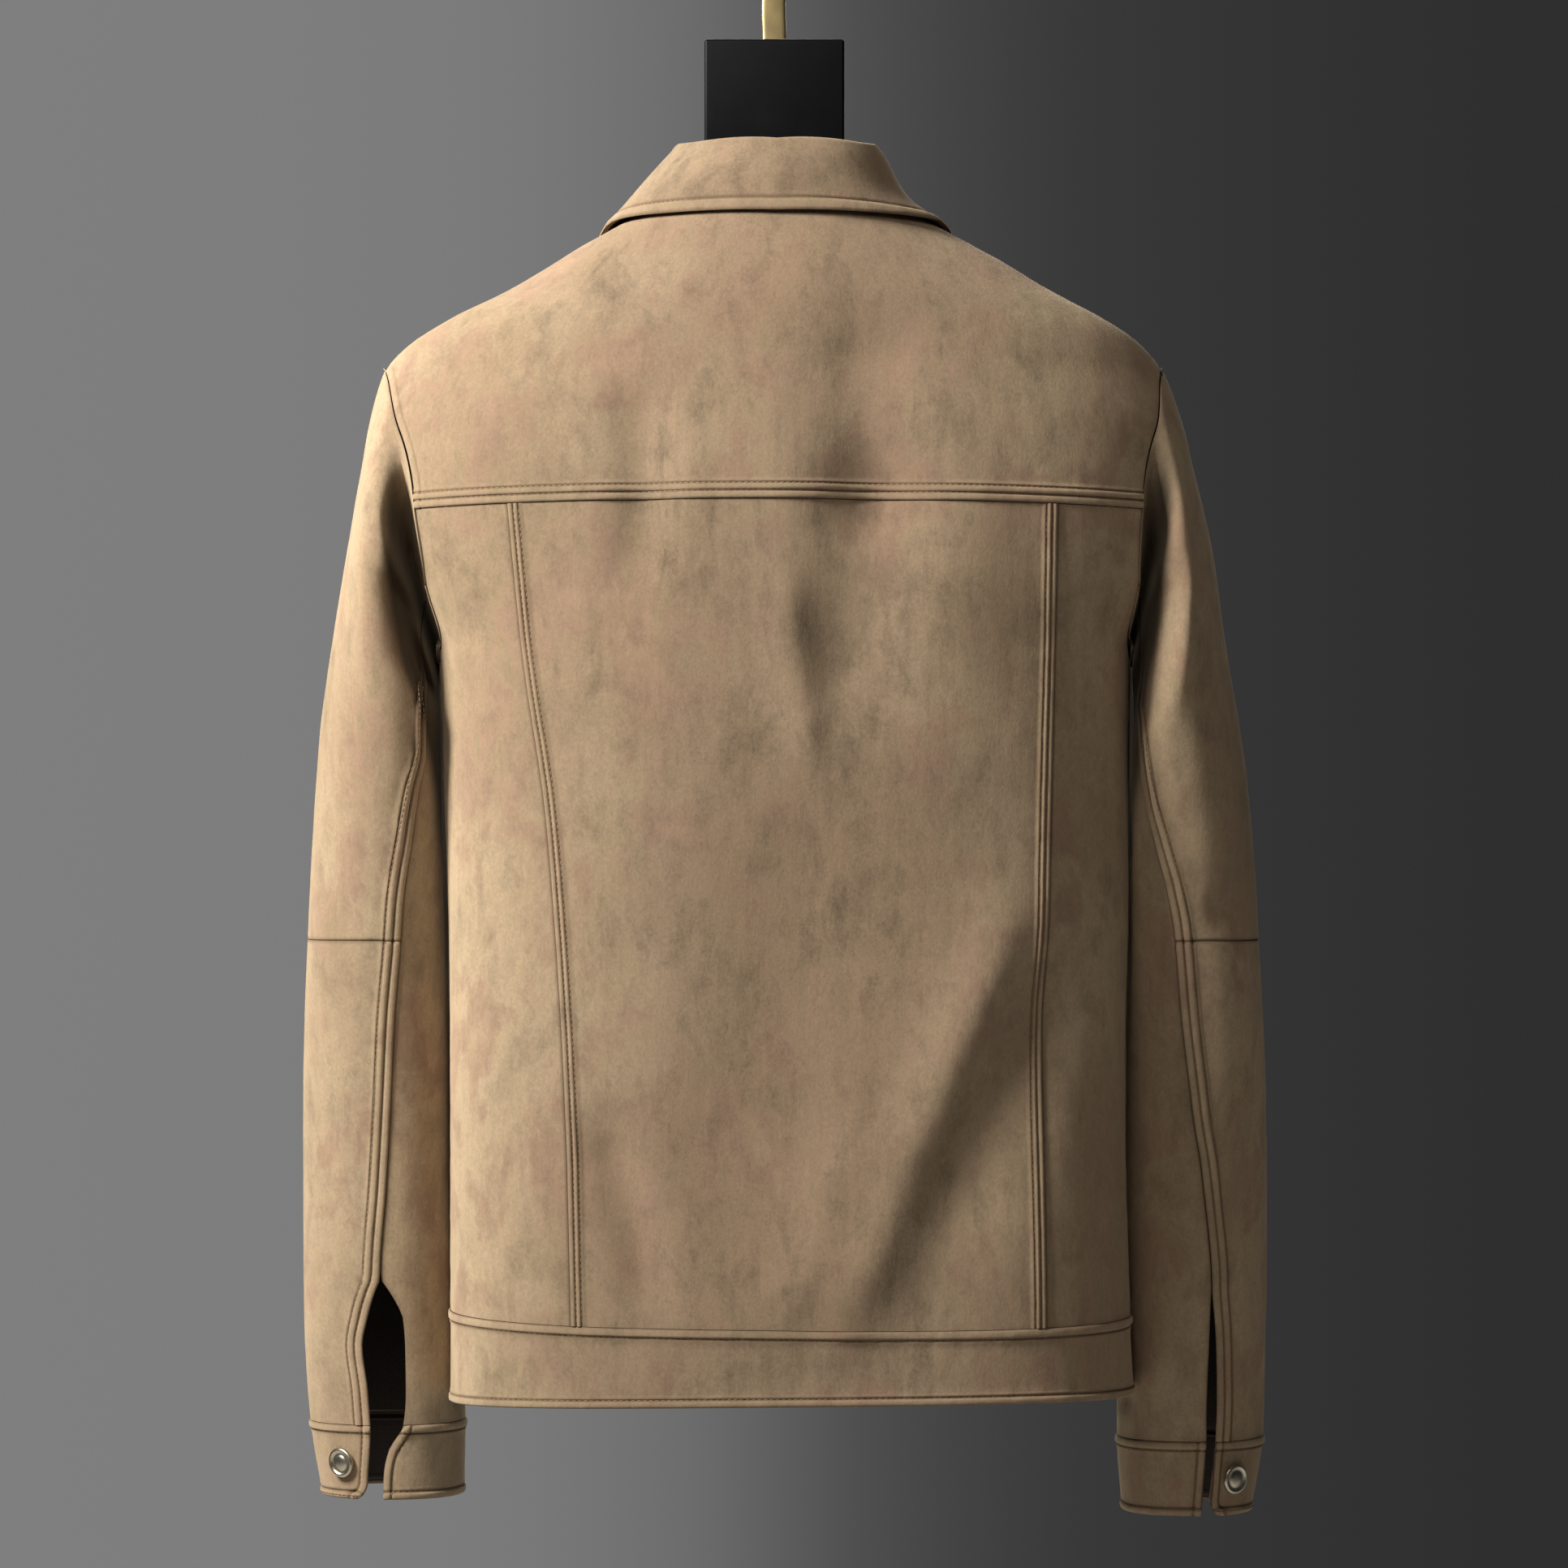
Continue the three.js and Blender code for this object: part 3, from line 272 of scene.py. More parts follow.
COLLAR_STATIONS = Table(
    ("along", "stand", "lean", "edge_ring", "bulge"),
    (
        (0, 28, 10, 632, 4),
        (0.25, 32, 14, 633.5, 2.5),
        (0.5, 39, 22, 636, 0.5),
        (0.66, 37, 19, 627, 2),
        (0.82, 30, 12, 592, 4),
        (1, 24, 6, 540, 5),
    ),
)
COLLAR_NECK_ANGLE = 177.0
COLLAR_POINT_ANGLE = 166.0
COLLAR_CLEARANCE = 4.0
COLLAR_ROLL = 5.0
COLLAR_RIGHT_TUCK = 6.0

BUTTON_RADIUS = 8.2
BUTTON_HEIGHT = 3.08
BUTTON_SEAT = 0.5
FRONT_BUTTON_HEIGHTS = (556, 470, 384, 298, 212, 126)
BAND_BUTTON_HEIGHT = 22.0


def smooth(x: Array, low: float, high: float) -> Array:
    """A soft step from 0 at low to 1 at high."""
    t = np.clip((np.asarray(x, float) - low) / (high - low), 0, 1)
    return t * t * (3 - 2 * t)


def unit(vectors: Array) -> Array:
    """Vectors at length one."""
    return vectors / np.maximum(np.linalg.norm(vectors, axis=-1, keepdims=True), 1e-9)


def lengths_along(points: Array, axis: int) -> Array:
    """How far each point lies from the start of its line.

    Args:
        points: Points, in lines along one axis.
        axis: That axis.

    Returns:
        The lengths, zero where each line starts.
    """
    steps = np.linalg.norm(np.diff(points, axis=axis), axis=-1)
    walked = np.cumsum(steps, axis=axis)
    return np.concatenate([np.zeros_like(np.take(walked, [0], axis=axis)), walked], axis=axis)


def normal_of(surface: Surface, row: Array, column: Array, step: float) -> Array:
    """The direction across a surface, from its neighbouring points.

    Args:
        surface: The surface.
        row: Places along its rows.
        column: Places along its columns.
        step: How far off the neighbours lie.

    Returns:
        Unit vectors, along the columns crossed with up the rows.
    """
    along = surface(row, column + step) - surface(row, column - step)
    up = surface(row + step, column) - surface(row - step, column)
    return unit(np.cross(along, up))


@dataclass(frozen=True)
class Fold:
    """A soft ridge, or a trough where rise is below zero, along a line that fades at its ends."""

    start: tuple[float, float]
    end: tuple[float, float]
    width: float
    rise: float
    on: int = -1

    def rise_at(self, x: Array, y: Array) -> Array:
        """How far the cloth stands out at each place."""
        run = np.subtract(self.end, self.start)
        length = float(np.hypot(*run))
        dx, dy = x - self.start[0], y - self.start[1]
        along = (dx * run[0] + dy * run[1]) / length**2
        aside = np.abs(dx * run[1] - dy * run[0]) / length
        fade = np.exp(-((np.maximum(0, np.abs(along - 0.5) - 0.3) / 0.22) ** 2))
        return self.rise * fade * np.exp(-((aside / self.width) ** 2))


BODY_FOLDS = (
    Fold((48, 580), (54, 468), 28, -7),
    Fold((56, 510), (40, 372), 30, -8.5),
    Fold((2, 445), (18, 350), 11, 4),
    Fold((-71, 548), (-72, 440), 17, -9),
    Fold((124, 254), (34, 50), 20, 9),
    Fold((150, 240), (84, 100), 34, -6.5),
    Fold((44, 150), (6, 52), 15, 4.5),
    Fold((20, 310), (-6, 105), 48, -5.5),
    Fold((-92, 152), (-64, 58), 14, -7),
    Fold((-122, 566), (-172, 500), 22, 3),
    Fold((-40, 520), (-66, 330), 24, -5, 1),
    Fold((62, 500), (44, 300), 26, -4.5, 1),
    Fold((-120, 250), (-44, 66), 22, 5.5, 1),
    Fold((-148, 230), (-76, 60), 22, -5.5, 1),
    Fold((118, 260), (60, 70), 22, -5, 1),
)

# The sleeves' folds run over drops and angles
SLEEVE_FOLDS = (
    Fold((70, 270), (220, 225), 20, -7),
    Fold((262, 30), (300, 78), 13, -3),
    Fold((330, 200), (290, 320), 15, -4),
    Fold((380, 250), (340, 330), 15, 3),
    Fold((400, 40), (470, 62), 15, -2.5),
)
LEFT_RIDGE = Fold((40, 40), (150, 86), 16, 3)
RIGHT_RIDGE = Fold((40, 52), (150, 98), 15, 3)

# Behind the shoulder each sleeve falls in beside the armhole, and these push the cloth forward
LEFT_HOLLOWS = (Fold((24, 76), (31, 182), 21, -38), Fold((50, 96), (98, 130), 30, -22))
RIGHT_HOLLOWS = (Fold((24, 76), (29, 160), 22, -32), Fold((48, 98), (120, 148), 30, -22))

# Painted shade: from these angles inwards the sleeves are painted dark in the hollows beside the body, where
# shadow falls
SHADE_COLUMNS = ("drop", "angle")
SHADE_EDGE = (-13.0, 9.0)
SHADE_FRONT = (205.0, 232.0)
SHADE_TOP = (6.0, 30.0)
SHADE_END = (200.0, 260.0)
LEFT_SHADE = Table(
    SHADE_COLUMNS,
    (
        *((0, 72), (24, 66), (44, 75), (60, 78), (78, 85)),
        *((103, 100), (118, 120), (147, 136), (190, 147), (240, 152)),
    ),
)
RIGHT_SHADE = Table(
    SHADE_COLUMNS,
    (
        *((0, 64), (24, 64), (44, 79), (54, 85), (78, 98)),
        *((103, 117), (125, 126), (147, 129), (190, 141), (240, 152)),
    ),
)


class BodyForm:
    """The body of the jacket as a surface over rings and angles, with its armholes."""

    def base(self, side: Array, angle: Array) -> Array:
        """The body without its folds.

        Args:
            side: The ring, named by its height at the side of the body.
            angle: The angle round the body, in degrees.

        Returns:
            Points in millimetres.
        """
        side, angle = np.broadcast_arrays(np.asarray(side, float), np.asarray(angle, float))
        turn = np.radians(angle)
        roundness = 2 / RINGS.at("power", side)
        sine = np.sin(turn)
        deep = np.abs(np.cos(turn))
        back = np.cos(turn) >= 0
        depth = np.where(back, -RINGS.at("back", side), RINGS.at("front", side))
        end = np.where(back, RINGS.at("back_height", side), RINGS.at("front_height", side))
        x = RINGS.at("middle", side) + RINGS.at("half", side) * np.sign(sine) * np.abs(sine) ** roundness
        height = side + (end - side) * deep**1.5 + RINGS.at("lean", side) * x
        return np.stack([x, depth * deep**roundness, height - HOOK_TO_HEM], axis=-1)

    def normal(self, side: Array, angle: Array) -> Array:
        """The way out of the body."""
        return normal_of(self.base, np.clip(side, 1, NECK - 1), angle, 0.7)

    def point(self, side: Array, angle: Array) -> Array:
        """The body with its folds."""
        point = self.base(side, angle)
        rise = np.zeros(point.shape[:-1])
        for fold in BODY_FOLDS:
            here = np.sign(point[..., 1]) == fold.on
            rise += np.where(here, fold.rise_at(point[..., 0], point[..., 2] + HOOK_TO_HEM), 0)
        return point + self.normal(side, angle) * rise[..., None]

    def angle_at_x(self, side: Array, x: Array | float, on: int) -> Array:
        """The angle where a ring reaches a distance from the centre line, on the back (-1) or the front (1)."""
        across = np.clip((x - RINGS.at("middle", side)) / RINGS.at("half", side), -1, 1)
        angle = np.degrees(np.arcsin(np.sign(across) * np.abs(across) ** (RINGS.at("power", side) / 2)))
        return angle if on < 0 else 180 - angle

    def armhole_angle(self, side: Array, on: int) -> Array:
        """The angle of the armhole's back (-1) or front (1) edge on a ring."""
        half_height = SHOULDER_TIP - YOKE_SEAM
        cosine = np.clip((np.asarray(side, float) - YOKE_SEAM) / half_height, -1, 1)
        reach = np.sqrt(1 - cosine**2) * ARMHOLE_HALF_DEPTH
        depth = RINGS.at("back" if on < 0 else "front", side)
        lean = np.degrees(np.arcsin((reach / depth) ** (RINGS.at("power", side) / 2)))
        return 90 + on * lean

    def armhole_point(self, side: int, turn: Array) -> Array:
        """The armhole's edge on the left (-1) or right (1), turned from the shoulder tip round the back."""
        turn = np.mod(turn, 360)
        ring = YOKE_SEAM + (SHOULDER_TIP - YOKE_SEAM) * np.cos(np.radians(turn))
        angle = np.where(turn < 180, self.armhole_angle(ring, -1), self.armhole_angle(ring, 1))
        return self.point(ring, side * angle)

    def side_edge(self, side: Array, on: int) -> Array:
        """A panel's outer edge: the side seam, the armhole, then the seam over the shoulder."""
        side = np.asarray(side, float)
        shoulder = 90 + SHOULDER_SEAM_SHIFT * smooth(side, SHOULDER_TIP, NECK)
        edge = np.where(side < SHOULDER_TIP, self.armhole_angle(side, on), shoulder)
        return np.where(side <= UNDERARM, 90.0, edge)

    def half_width(self, height: Array, y: Array, side: int) -> Array:
        """How far out the body's side reaches at a height and a depth, or nothing beyond its depth."""
        depth = np.where(y < 0, RINGS.at("back", height), RINGS.at("front", height))
        power = RINGS.at("power", height)
        share = 1 - np.minimum(1, np.abs(y) / depth) ** power
        reach = RINGS.at("half", height) * share ** (1 / power) + side * RINGS.at("middle", height)
        return np.where(share > 0, reach, -np.inf)


SHAPE = BodyForm()


@dataclass(frozen=True)
class SleeveForm:
    """One sleeve as a surface over its drop below the shoulder tip and its angle from the outer side."""

    side: int
    sections: Table
    slit: Table
    slit_top: float
    cuff_top: float
    cuff_end: float
    folds: tuple[Fold, ...]
    hollows: tuple[Fold, ...]
    # The angles where each sleeve's painted shade begins, over its drops
    dark: Table
    button_angle: float = 56.5

    def base(self, drop: Array, angle: Array) -> Array:
        """The sleeve without its folds.

        Args:
            drop: How far below the shoulder tip, in millimetres.
            angle: The angle from the outer side round the back, in degrees.

        Returns:
            Points in millimetres.
        """
        drop, angle = np.broadcast_arrays(np.asarray(drop, float), np.asarray(angle, float))
        turn = np.radians(angle)
        outer, inner = self.sections.at("outer", drop), self.sections.at("inner", drop)
        cosine, sine = np.cos(turn), np.sin(turn)
        height = SHOULDER_TIP - drop - self.sections.at("tilt", drop) * (1 - cosine) / 2
        out = (outer + inner) / 2 + (outer - inner) / 2 * np.sign(cosine) * np.abs(cosine) ** SLEEVE_SQUARENESS
        deep = np.sign(sine) * np.abs(sine) ** SLEEVE_SQUARENESS
        y = self.sections.at("forward", drop) - self.sections.at("depth", drop) * deep
        tube = np.stack([self.side * out, y, height - HOOK_TO_HEM], axis=-1)
        sewn = SHAPE.armhole_point(self.side, angle)
        sewn[..., 0] += self.side * ARMHOLE_GAP
        share = smooth(drop, 0, SLEEVE_SET_DROP)[..., None]
        return sewn + (tube - sewn) * share

    def normal(self, drop: Array, angle: Array) -> Array:
        """The way out of the sleeve."""
        return self.side * normal_of(self.base, np.maximum(drop, 1.5), angle, 1.4)

    def point(self, drop: Array, angle: Array) -> Array:
        """The sleeve with its folds, lying against the body where it would touch it."""
        drop, angle = np.broadcast_arrays(np.asarray(drop, float), np.asarray(angle, float))
        turn = np.mod(angle, 360)
        away = smooth(drop, *FOLDS_BEGIN) * (1 - smooth(drop, self.slit_top - 20, self.slit_top))
        rise = sum(self.rise_of(fold, drop, turn) + self.rise_of(fold, drop, turn - 360) for fold in self.folds)
        point = self.base(drop, angle) + self.normal(drop, angle) * (rise * away)[..., None]
        point[..., 1] -= sum(self.rise_of(fold, drop, turn) for fold in self.hollows) * away
        height = point[..., 2] + HOOK_TO_HEM
        level = np.maximum(height, BAND_BOTTOM)
        least = SHAPE.half_width(level, point[..., 1], self.side) + BODY_CLEARANCE
        beside = (height <= UNDERARM + 10) & (height >= -4)
        out = self.side * point[..., 0]
        point[..., 0] = self.side * np.where(beside & (out < least), least, out)
        return point

    def rise_of(self, fold: Fold, drop: Array, angle: Array) -> Array:
        """How far a fold over drops and angles lifts the cloth."""
        start, end = ((at[0], at[1] * ROUND_MM) for at in (fold.start, fold.end))
        return replace(fold, start=start, end=end).rise_at(drop, angle * ROUND_MM)

    def shade(self, drop: Array, angle: Array) -> Array:
        """How much painted shade the cloth takes, from 0 out in the light to 1 deep in the hollow beside the
        body.
        """
        turn = np.mod(angle, 360)
        edge = self.dark.at("angle", drop)
        inwards = smooth(turn, edge + SHADE_EDGE[0], edge + SHADE_EDGE[1]) * (1 - smooth(turn, *SHADE_FRONT))
        return inwards * smooth(drop, *SHADE_TOP) * (1 - smooth(drop, *SHADE_END))

    def seam(self, drop: Array) -> Array:
        """The angle of the back seam."""
        return self.sections.at("seam", drop)

    def tab_edge(self, drop: Array) -> Array:
        """The upper panels' back edge: the back seam, then the slit's outer edge."""
        return np.where(drop < self.slit_top, self.seam(drop), self.slit.at("tab", drop))

    def under_edge(self, drop: Array) -> Array:
        """The under panel's back edge: the back seam, then the slit's inner edge."""
        return np.where(drop < self.slit_top, self.seam(drop), self.slit.at("under", drop))

    def cuff_start(self, drop: Array) -> Array:
        """The cuff's end at the slit's inner edge."""
        return self.slit.at("under", drop)


SLEEVES = {
    "left": SleeveForm(
        side=-1,
        sections=LEFT_SLEEVE,
        slit=LEFT_SLIT,
        slit_top=493,
        cuff_top=573,
        cuff_end=614,
        folds=(*SLEEVE_FOLDS, LEFT_RIDGE),
        hollows=LEFT_HOLLOWS,
        dark=LEFT_SHADE,
    ),
    "right": SleeveForm(
        side=1,
        sections=RIGHT_SLEEVE,
        slit=RIGHT_SLIT,
        slit_top=500,
        cuff_top=582,
        cuff_end=623,
        folds=(*SLEEVE_FOLDS, RIGHT_RIDGE),
        hollows=RIGHT_HOLLOWS,
        dark=RIGHT_SHADE,
    ),
}


class CollarForm:
    """The collar as a surface from its neck seam (0) over its roll to the edge of the fall (1)."""

    def stations(self, along: Array) -> Array:
        """The seven points that each section of the collar passes through.

        Args:
            along: Places from the left front edge (-1) over the centre back (0) to the right front edge (1).

        Returns:
            Points in millimetres, seven for each place.
        """
        q = np.abs(along)
        neck_angle = along * COLLAR_NECK_ANGLE
        neck = SHAPE.point(np.full_like(along, NECK), neck_angle)
        onwards = unit(neck - SHAPE.point(np.full_like(along, NECK - 2), neck_angle))
        neck_out = SHAPE.normal(np.full_like(along, NECK), neck_angle)
        seam = neck - neck_out * COLLAR_CLOTH + onwards * 2 * SEAM_GAP
        start = seam + onwards * COLLAR_CLOTH
        flat = seam * np.array([1.0, 1.0, 0.0])
        outwards = unit(flat)
        up = np.array([0.0, 0.0, 1.0])
        stand = COLLAR_STATIONS.at("stand", q)[..., None]
        lean = COLLAR_STATIONS.at("lean", q)[..., None]
        top = seam - outwards * lean + up * stand
        edge_ring = COLLAR_STATIONS.at("edge_ring", q)
        edge_angle = along * COLLAR_POINT_ANGLE
        edge_out = SHAPE.normal(edge_ring, edge_angle)
        edge = SHAPE.point(edge_ring, edge_angle) + edge_out * COLLAR_CLEARANCE
        inside = top - up * COLLAR_ROLL
        outside = inside + outwards * 2 * COLLAR_ROLL
        crest = top + outwards * COLLAR_ROLL
        tuck = np.where(along > 0, COLLAR_RIGHT_TUCK * np.sin(np.pi * along), 0)
        bulge = COLLAR_STATIONS.at("bulge", q) - tuck
        belly = (outside + edge) / 2 + edge_out * bulge[..., None]
        return np.stack([seam, start, inside, crest, outside, belly, edge], axis=-2)

    def point(self, row: Array, along: Array) -> Array:
        """Points of the collar, on a centripetal spline through each section's points."""
        row, along = np.broadcast_arrays(np.clip(row, 0, 1), np.clip(along, -1, 1))
        knots = self.stations(along)
        first = 2 * knots[..., :1, :] - knots[..., 1:2, :]
        last = 2 * knots[..., -1:, :] - knots[..., -2:-1, :]
        knots = np.concatenate([first, knots, last], axis=-2)
        count = knots.shape[-2] - 3
        i = np.clip((row * count).astype(int), 0, count - 1)
        t = (row * count - i)[..., None]
        picked = ((i + k)[..., None, None] for k in range(4))
        p0, p1, p2, p3 = (np.take_along_axis(knots, place, axis=-2)[..., 0, :] for place in picked)
        d0, d1, d2 = (
            np.sqrt(np.maximum(np.linalg.norm(b - a, axis=-1, keepdims=True), 1e-6))
            for a, b in ((p0, p1), (p1, p2), (p2, p3))
        )
        t1 = ((p1 - p0) / d0 - (p2 - p0) / (d0 + d1) + (p2 - p1) / d1) * d1
        t2 = ((p2 - p1) / d1 - (p3 - p1) / (d1 + d2) + (p3 - p2) / d2) * d1
        c2 = 3 * (p2 - p1) - 2 * t1 - t2
        c3 = 2 * (p1 - p2) + t1 + t2
        return p1 + t1 * t + c2 * t**2 + c3 * t**3

    def normal(self, row: Array, along: Array) -> Array:
        """The way out of the face that shows on the fall and inside the stand."""
        row, along = np.broadcast_arrays(np.asarray(row, float), np.asarray(along, float))
        up = self.point(row + 0.01, along) - self.point(row - 0.01, along)
        across = self.point(row, along + 0.01) - self.point(row, along - 0.01)
        return unit(np.cross(up, across))


class Edge(Enum):
    """The four edges of a piece's grid."""

    BOTTOM = "bottom"
    TOP = "top"
    START = "start"
    END = "end"


@dataclass(frozen=True)
class Seam:
    """How the cloth is sewn beside one of its edges.

    raised is the rise of a lap, grooves are the distances of its rows of stitches, roll is how far the very
    edge turns down, depth is how deep the grooves are beside the usual, and the seam lies flat before begins.
    """

    edge: Edge
    grooves: tuple[float, ...] = ()
    raised: float = 0.0
    roll: float = 0.5
    stitched: bool = True
    depth: float = 1.0
    begins: float = 0.0


@dataclass
class Cloth:
    """One sewn piece of suede as a fine grid over its form."""

    name: str
    surface: Surface
    normal: Surface
    rows: Array
    columns: Array
    seams: tuple[Seam, ...]
    cut: tuple[float, float]
    area: float | None = None
    facing: int = 1
    thickness: float = SUEDE
    ripple: float = 0.7
    # Painted shade over the piece, from 0 to 1, where one is given
    shade: Surface | None = None
    lines: dict[Edge, Array] = field(default_factory=dict)

    def line_of(self, edge: Edge) -> Array:
        """The points along one edge of the piece."""
        row, column = {
            Edge.BOTTOM: (np.full(self.columns.shape[1], self.rows[0]), self.columns[0]),
            Edge.TOP: (np.full(self.columns.shape[1], self.rows[-1]), self.columns[-1]),
            Edge.START: (self.rows, self.columns[:, 0]),
            Edge.END: (self.rows, self.columns[:, -1]),
        }[edge]
        return self.surface(row, column)

    def relief(self, points: Array) -> tuple[Array, Array]:
        """How far the sewing lifts and sinks the cloth.

        Args:
            points: Points on the plain form.

        Returns:
            The rise in millimetres, and how much each point is a crest (above zero), painted lighter as rubbed
            nap and highlight, or a groove or turned edge (below zero), painted darker as shade.
        """
        flat = points.reshape(-1, 3)
        rise = np.zeros(len(flat))
        crest = np.zeros(len(flat))
        for seam in self.seams:
            if seam.edge not in self.lines:
                self.lines[seam.edge] = self.line_of(seam.edge)
            distance, along = nearest(flat, self.lines[seam.edge])
            # Painted shade darkens the turned edge, as the rise sinks it
            rise -= seam.roll * np.clip(1 - distance / TURN_REACH, 0, 1) ** 2
            crest -= min(1.0, 2 * seam.roll) * 1.2 * np.clip(1 - distance / TURN_SHADE_REACH, 0, 1)
            last = seam.grooves[-1] if seam.grooves else 0.0
            sewn = smooth(along, seam.begins - 30, seam.begins) if seam.begins else np.ones(len(flat))
            rise += sewn * seam.raised * (1 - smooth(distance, last + 0.2, last + 2.7))
            sewn = sewn * seam.depth
            uneven = wander(along / 7.5)
            start = 0.0
            for groove in seam.grooves:
                share = np.clip((distance - start) / (groove - start), 0, 1)
                pillow = np.sin(np.pi * share) ** 0.7 * min(1.0, (groove - start) / 4.5)
                rise += sewn * (PILLOW_RISE + 0.2 * uneven) * pillow
                # Crests between grooves are painted lighter, as rubbed nap and highlight
                crest += sewn * 0.8 * pillow
                rise -= sewn * GROOVE_DEPTH * np.exp(-(((distance - groove) / GROOVE_HALF_WIDTH) ** 2))
                # Painted shade in each groove
                crest -= sewn * 1.35 * np.exp(-(((distance - groove) / GROOVE_SHADE_HALF_WIDTH) ** 2))
                start = groove
            if seam.grooves:
                beyond = np.maximum(distance - last, 0)
                pucker = PUCKER_RISE * wander(along / 5.2 + 40) * np.exp(-beyond / PUCKER_REACH)
                rise += sewn * (pucker * smooth(beyond, 0, 1.5))
        return rise.reshape(points.shape[:-1]), crest.reshape(points.shape[:-1])

    def build(self, materials: Sequence[bpy.types.Material]) -> bpy.types.Object:
        """Makes the piece: a grid drawn over the form, with its sewing, then given its thickness.

        Args:
            materials: The finish of its outside, and of its inside.

        Returns:
            The finished object.
        """
        row = np.broadcast_to(self.rows[:, None], self.columns.shape)
        points = self.surface(row, self.columns)
        normals = self.normal(row, self.columns)
        rise, crest = self.relief(points)
        rise = rise + self.ripple * creases(points)
        raised = points + normals * rise[..., None]
        draw_in(raised)
        shade = None if self.shade is None else self.shade(row, self.columns)
        obj = grid_object(self.name, raised, self.facing, crest, shade)
        for material in materials:
            obj.data.materials.append(material)
        wall = obj.modifiers.new("wall", "SOLIDIFY")
        wall.thickness = self.thickness * MM
        wall.offset = -1
        wall.use_even_offset = False
        wall.material_offset = 1
        finish_mesh(obj, 50)
        return obj


def draw_in(points: Array) -> None:
    """Moves the outermost points of a grid in by half a seam's gap, in place."""
    for edge, inner in ((points[0], points[1]), (points[-1], points[-2])):
        edge += unit(inner - edge) * SEAM_GAP / 2
    for edge, inner in ((points[:, 0], points[:, 1]), (points[:, -1], points[:, -2])):
        edge += unit(inner - edge) * SEAM_GAP / 2


def nearest(points: Array, line: Array) -> tuple[Array, Array]:
    """The distance from each point to a line, and how far along the line that is.

    Args:
        points: Points, one a row.
        line: The line's own points.

    Returns:
        The distances, and the lengths along the line.
    """
    start, run = line[:-1], np.diff(line, axis=0)
    length = np.maximum(np.linalg.norm(run, axis=1), 1e-9)
    before = np.concatenate(([0.0], np.cumsum(length)[:-1]))
    distance = np.full(len(points), np.inf)
    along = np.zeros(len(points))
    for k in range(len(run)):
        step = points - start[k]
        share = np.clip(step @ run[k] / length[k] ** 2, 0, 1)
        gap = np.linalg.norm(step - share[:, None] * run[k], axis=1)
        closer = gap < distance
        distance = np.where(closer, gap, distance)
        along = np.where(closer, before[k] + share * length[k], along)
    return distance, along


def wander(place: Array) -> Array:
    """An uneven wave, about one to each step of place, between -1 and 1."""
    return 0.5 * np.sin(2.1 * place) + 0.3 * np.sin(3.7 * place + 1.3) + 0.2 * np.sin(6.3 * place + 4.1)


def creases(points: Array) -> Array:
    """The small unevenness of hanging suede, longer down the cloth than across it."""
    flat = points.reshape(-1, 3)
    long_waves = [noise.noise(Vector((p[0] / 46, p[1] / 46, p[2] / 95))) for p in flat]
    short_waves = [noise.noise(Vector((p[0] / 15 + 7, p[1] / 15, p[2] / 24))) for p in flat]
    return (np.array(long_waves) + 0.32 * np.array(short_waves)).reshape(points.shape[:-1])


def grid_object(
    name: str, points: Array, facing: int, crest: Array | None = None, shade: Array | None = None
) -> bpy.types.Object:
    """Draws a grid over points.

    Args:
        name: The piece's name.
        points: Points in millimetres, as rows of columns.
        facing: 1 where the columns crossed with the rows point out, and -1 where they point in.
        crest: How much each point is a crest, painted lighter as rubbed nap and highlight, or a groove, painted
            darker as shade.
        shade: How much painted shade each point takes.

    Returns:
        The new object.
    """
    rows, columns = points.shape[:2]
    bm = bmesh.new()
    bmesh.ops.create_grid(bm, x_segments=columns - 1, y_segments=rows - 1, size=1)
    rubbed_highlight_and_shade = bm.verts.layers.float.new("crest")
    # Each point's painted shade, read by the suede's material
    dark = bm.verts.layers.float.new("shade")
    for vert in bm.verts:
        i = round((vert.co.x + 1) / 2 * (columns - 1))
        j = round((vert.co.y + 1) / 2 * (rows - 1))
        vert.co = Vector(points[j, i]) * MM
        vert[rubbed_highlight_and_shade] = 0.0 if crest is None else float(crest[j, i])
        vert[dark] = 0.0 if shade is None else float(shade[j, i])
    if facing < 0:
        bmesh.ops.reverse_faces(bm, faces=bm.faces)
    return object_of(name, bm)


def object_of(name: str, bm: bmesh.types.BMesh) -> bpy.types.Object:
    """Makes an object of a bmesh, shaded smooth, and frees the bmesh."""
    mesh = bpy.data.meshes.new(name)
    bm.to_mesh(mesh)
    bm.free()
    mesh.shade_smooth()
    obj = bpy.data.objects.new(name, mesh)
    bpy.context.scene.collection.objects.link(obj)
    return obj


def finish_mesh(obj: bpy.types.Object, sharp: float) -> None:
    """Applies an object's modifiers and keeps the edges sharper than an angle, in degrees, crisp."""
    bpy.context.view_layer.update()
    evaluated = obj.evaluated_get(bpy.context.evaluated_depsgraph_get())
    mesh = bpy.data.meshes.new_from_object(evaluated)
    mesh.name = obj.name
    old = obj.data
    obj.modifiers.clear()
    obj.data = mesh
    bpy.data.meshes.remove(old)
    mesh.shade_smooth()
    mesh.set_sharp_from_angle(angle=math.radians(sharp))


def beside(grooves: Sequence[float], reach: float) -> Array:
    """Places for rows of points beside an edge, close together at its rows of stitches.

    Args:
        grooves: The distances of the rows of stitches.
        reach: The last place.

    Returns:
        Distances from the edge, in millimetres.
    """
    places = [0.0, 0.35, 0.8, 1.5]
    for groove in grooves:
        places += [groove + step for step in (-1.5, -0.9, -0.45, 0, 0.45, 0.9, 1.6, 2.7)]
    places.append(reach)
    kept: list[float] = []
    for place in sorted(places):
        if place >= 0 and place <= reach and (not kept or place - kept[-1] > 0.3):
            kept.append(place)
    return np.array(kept)


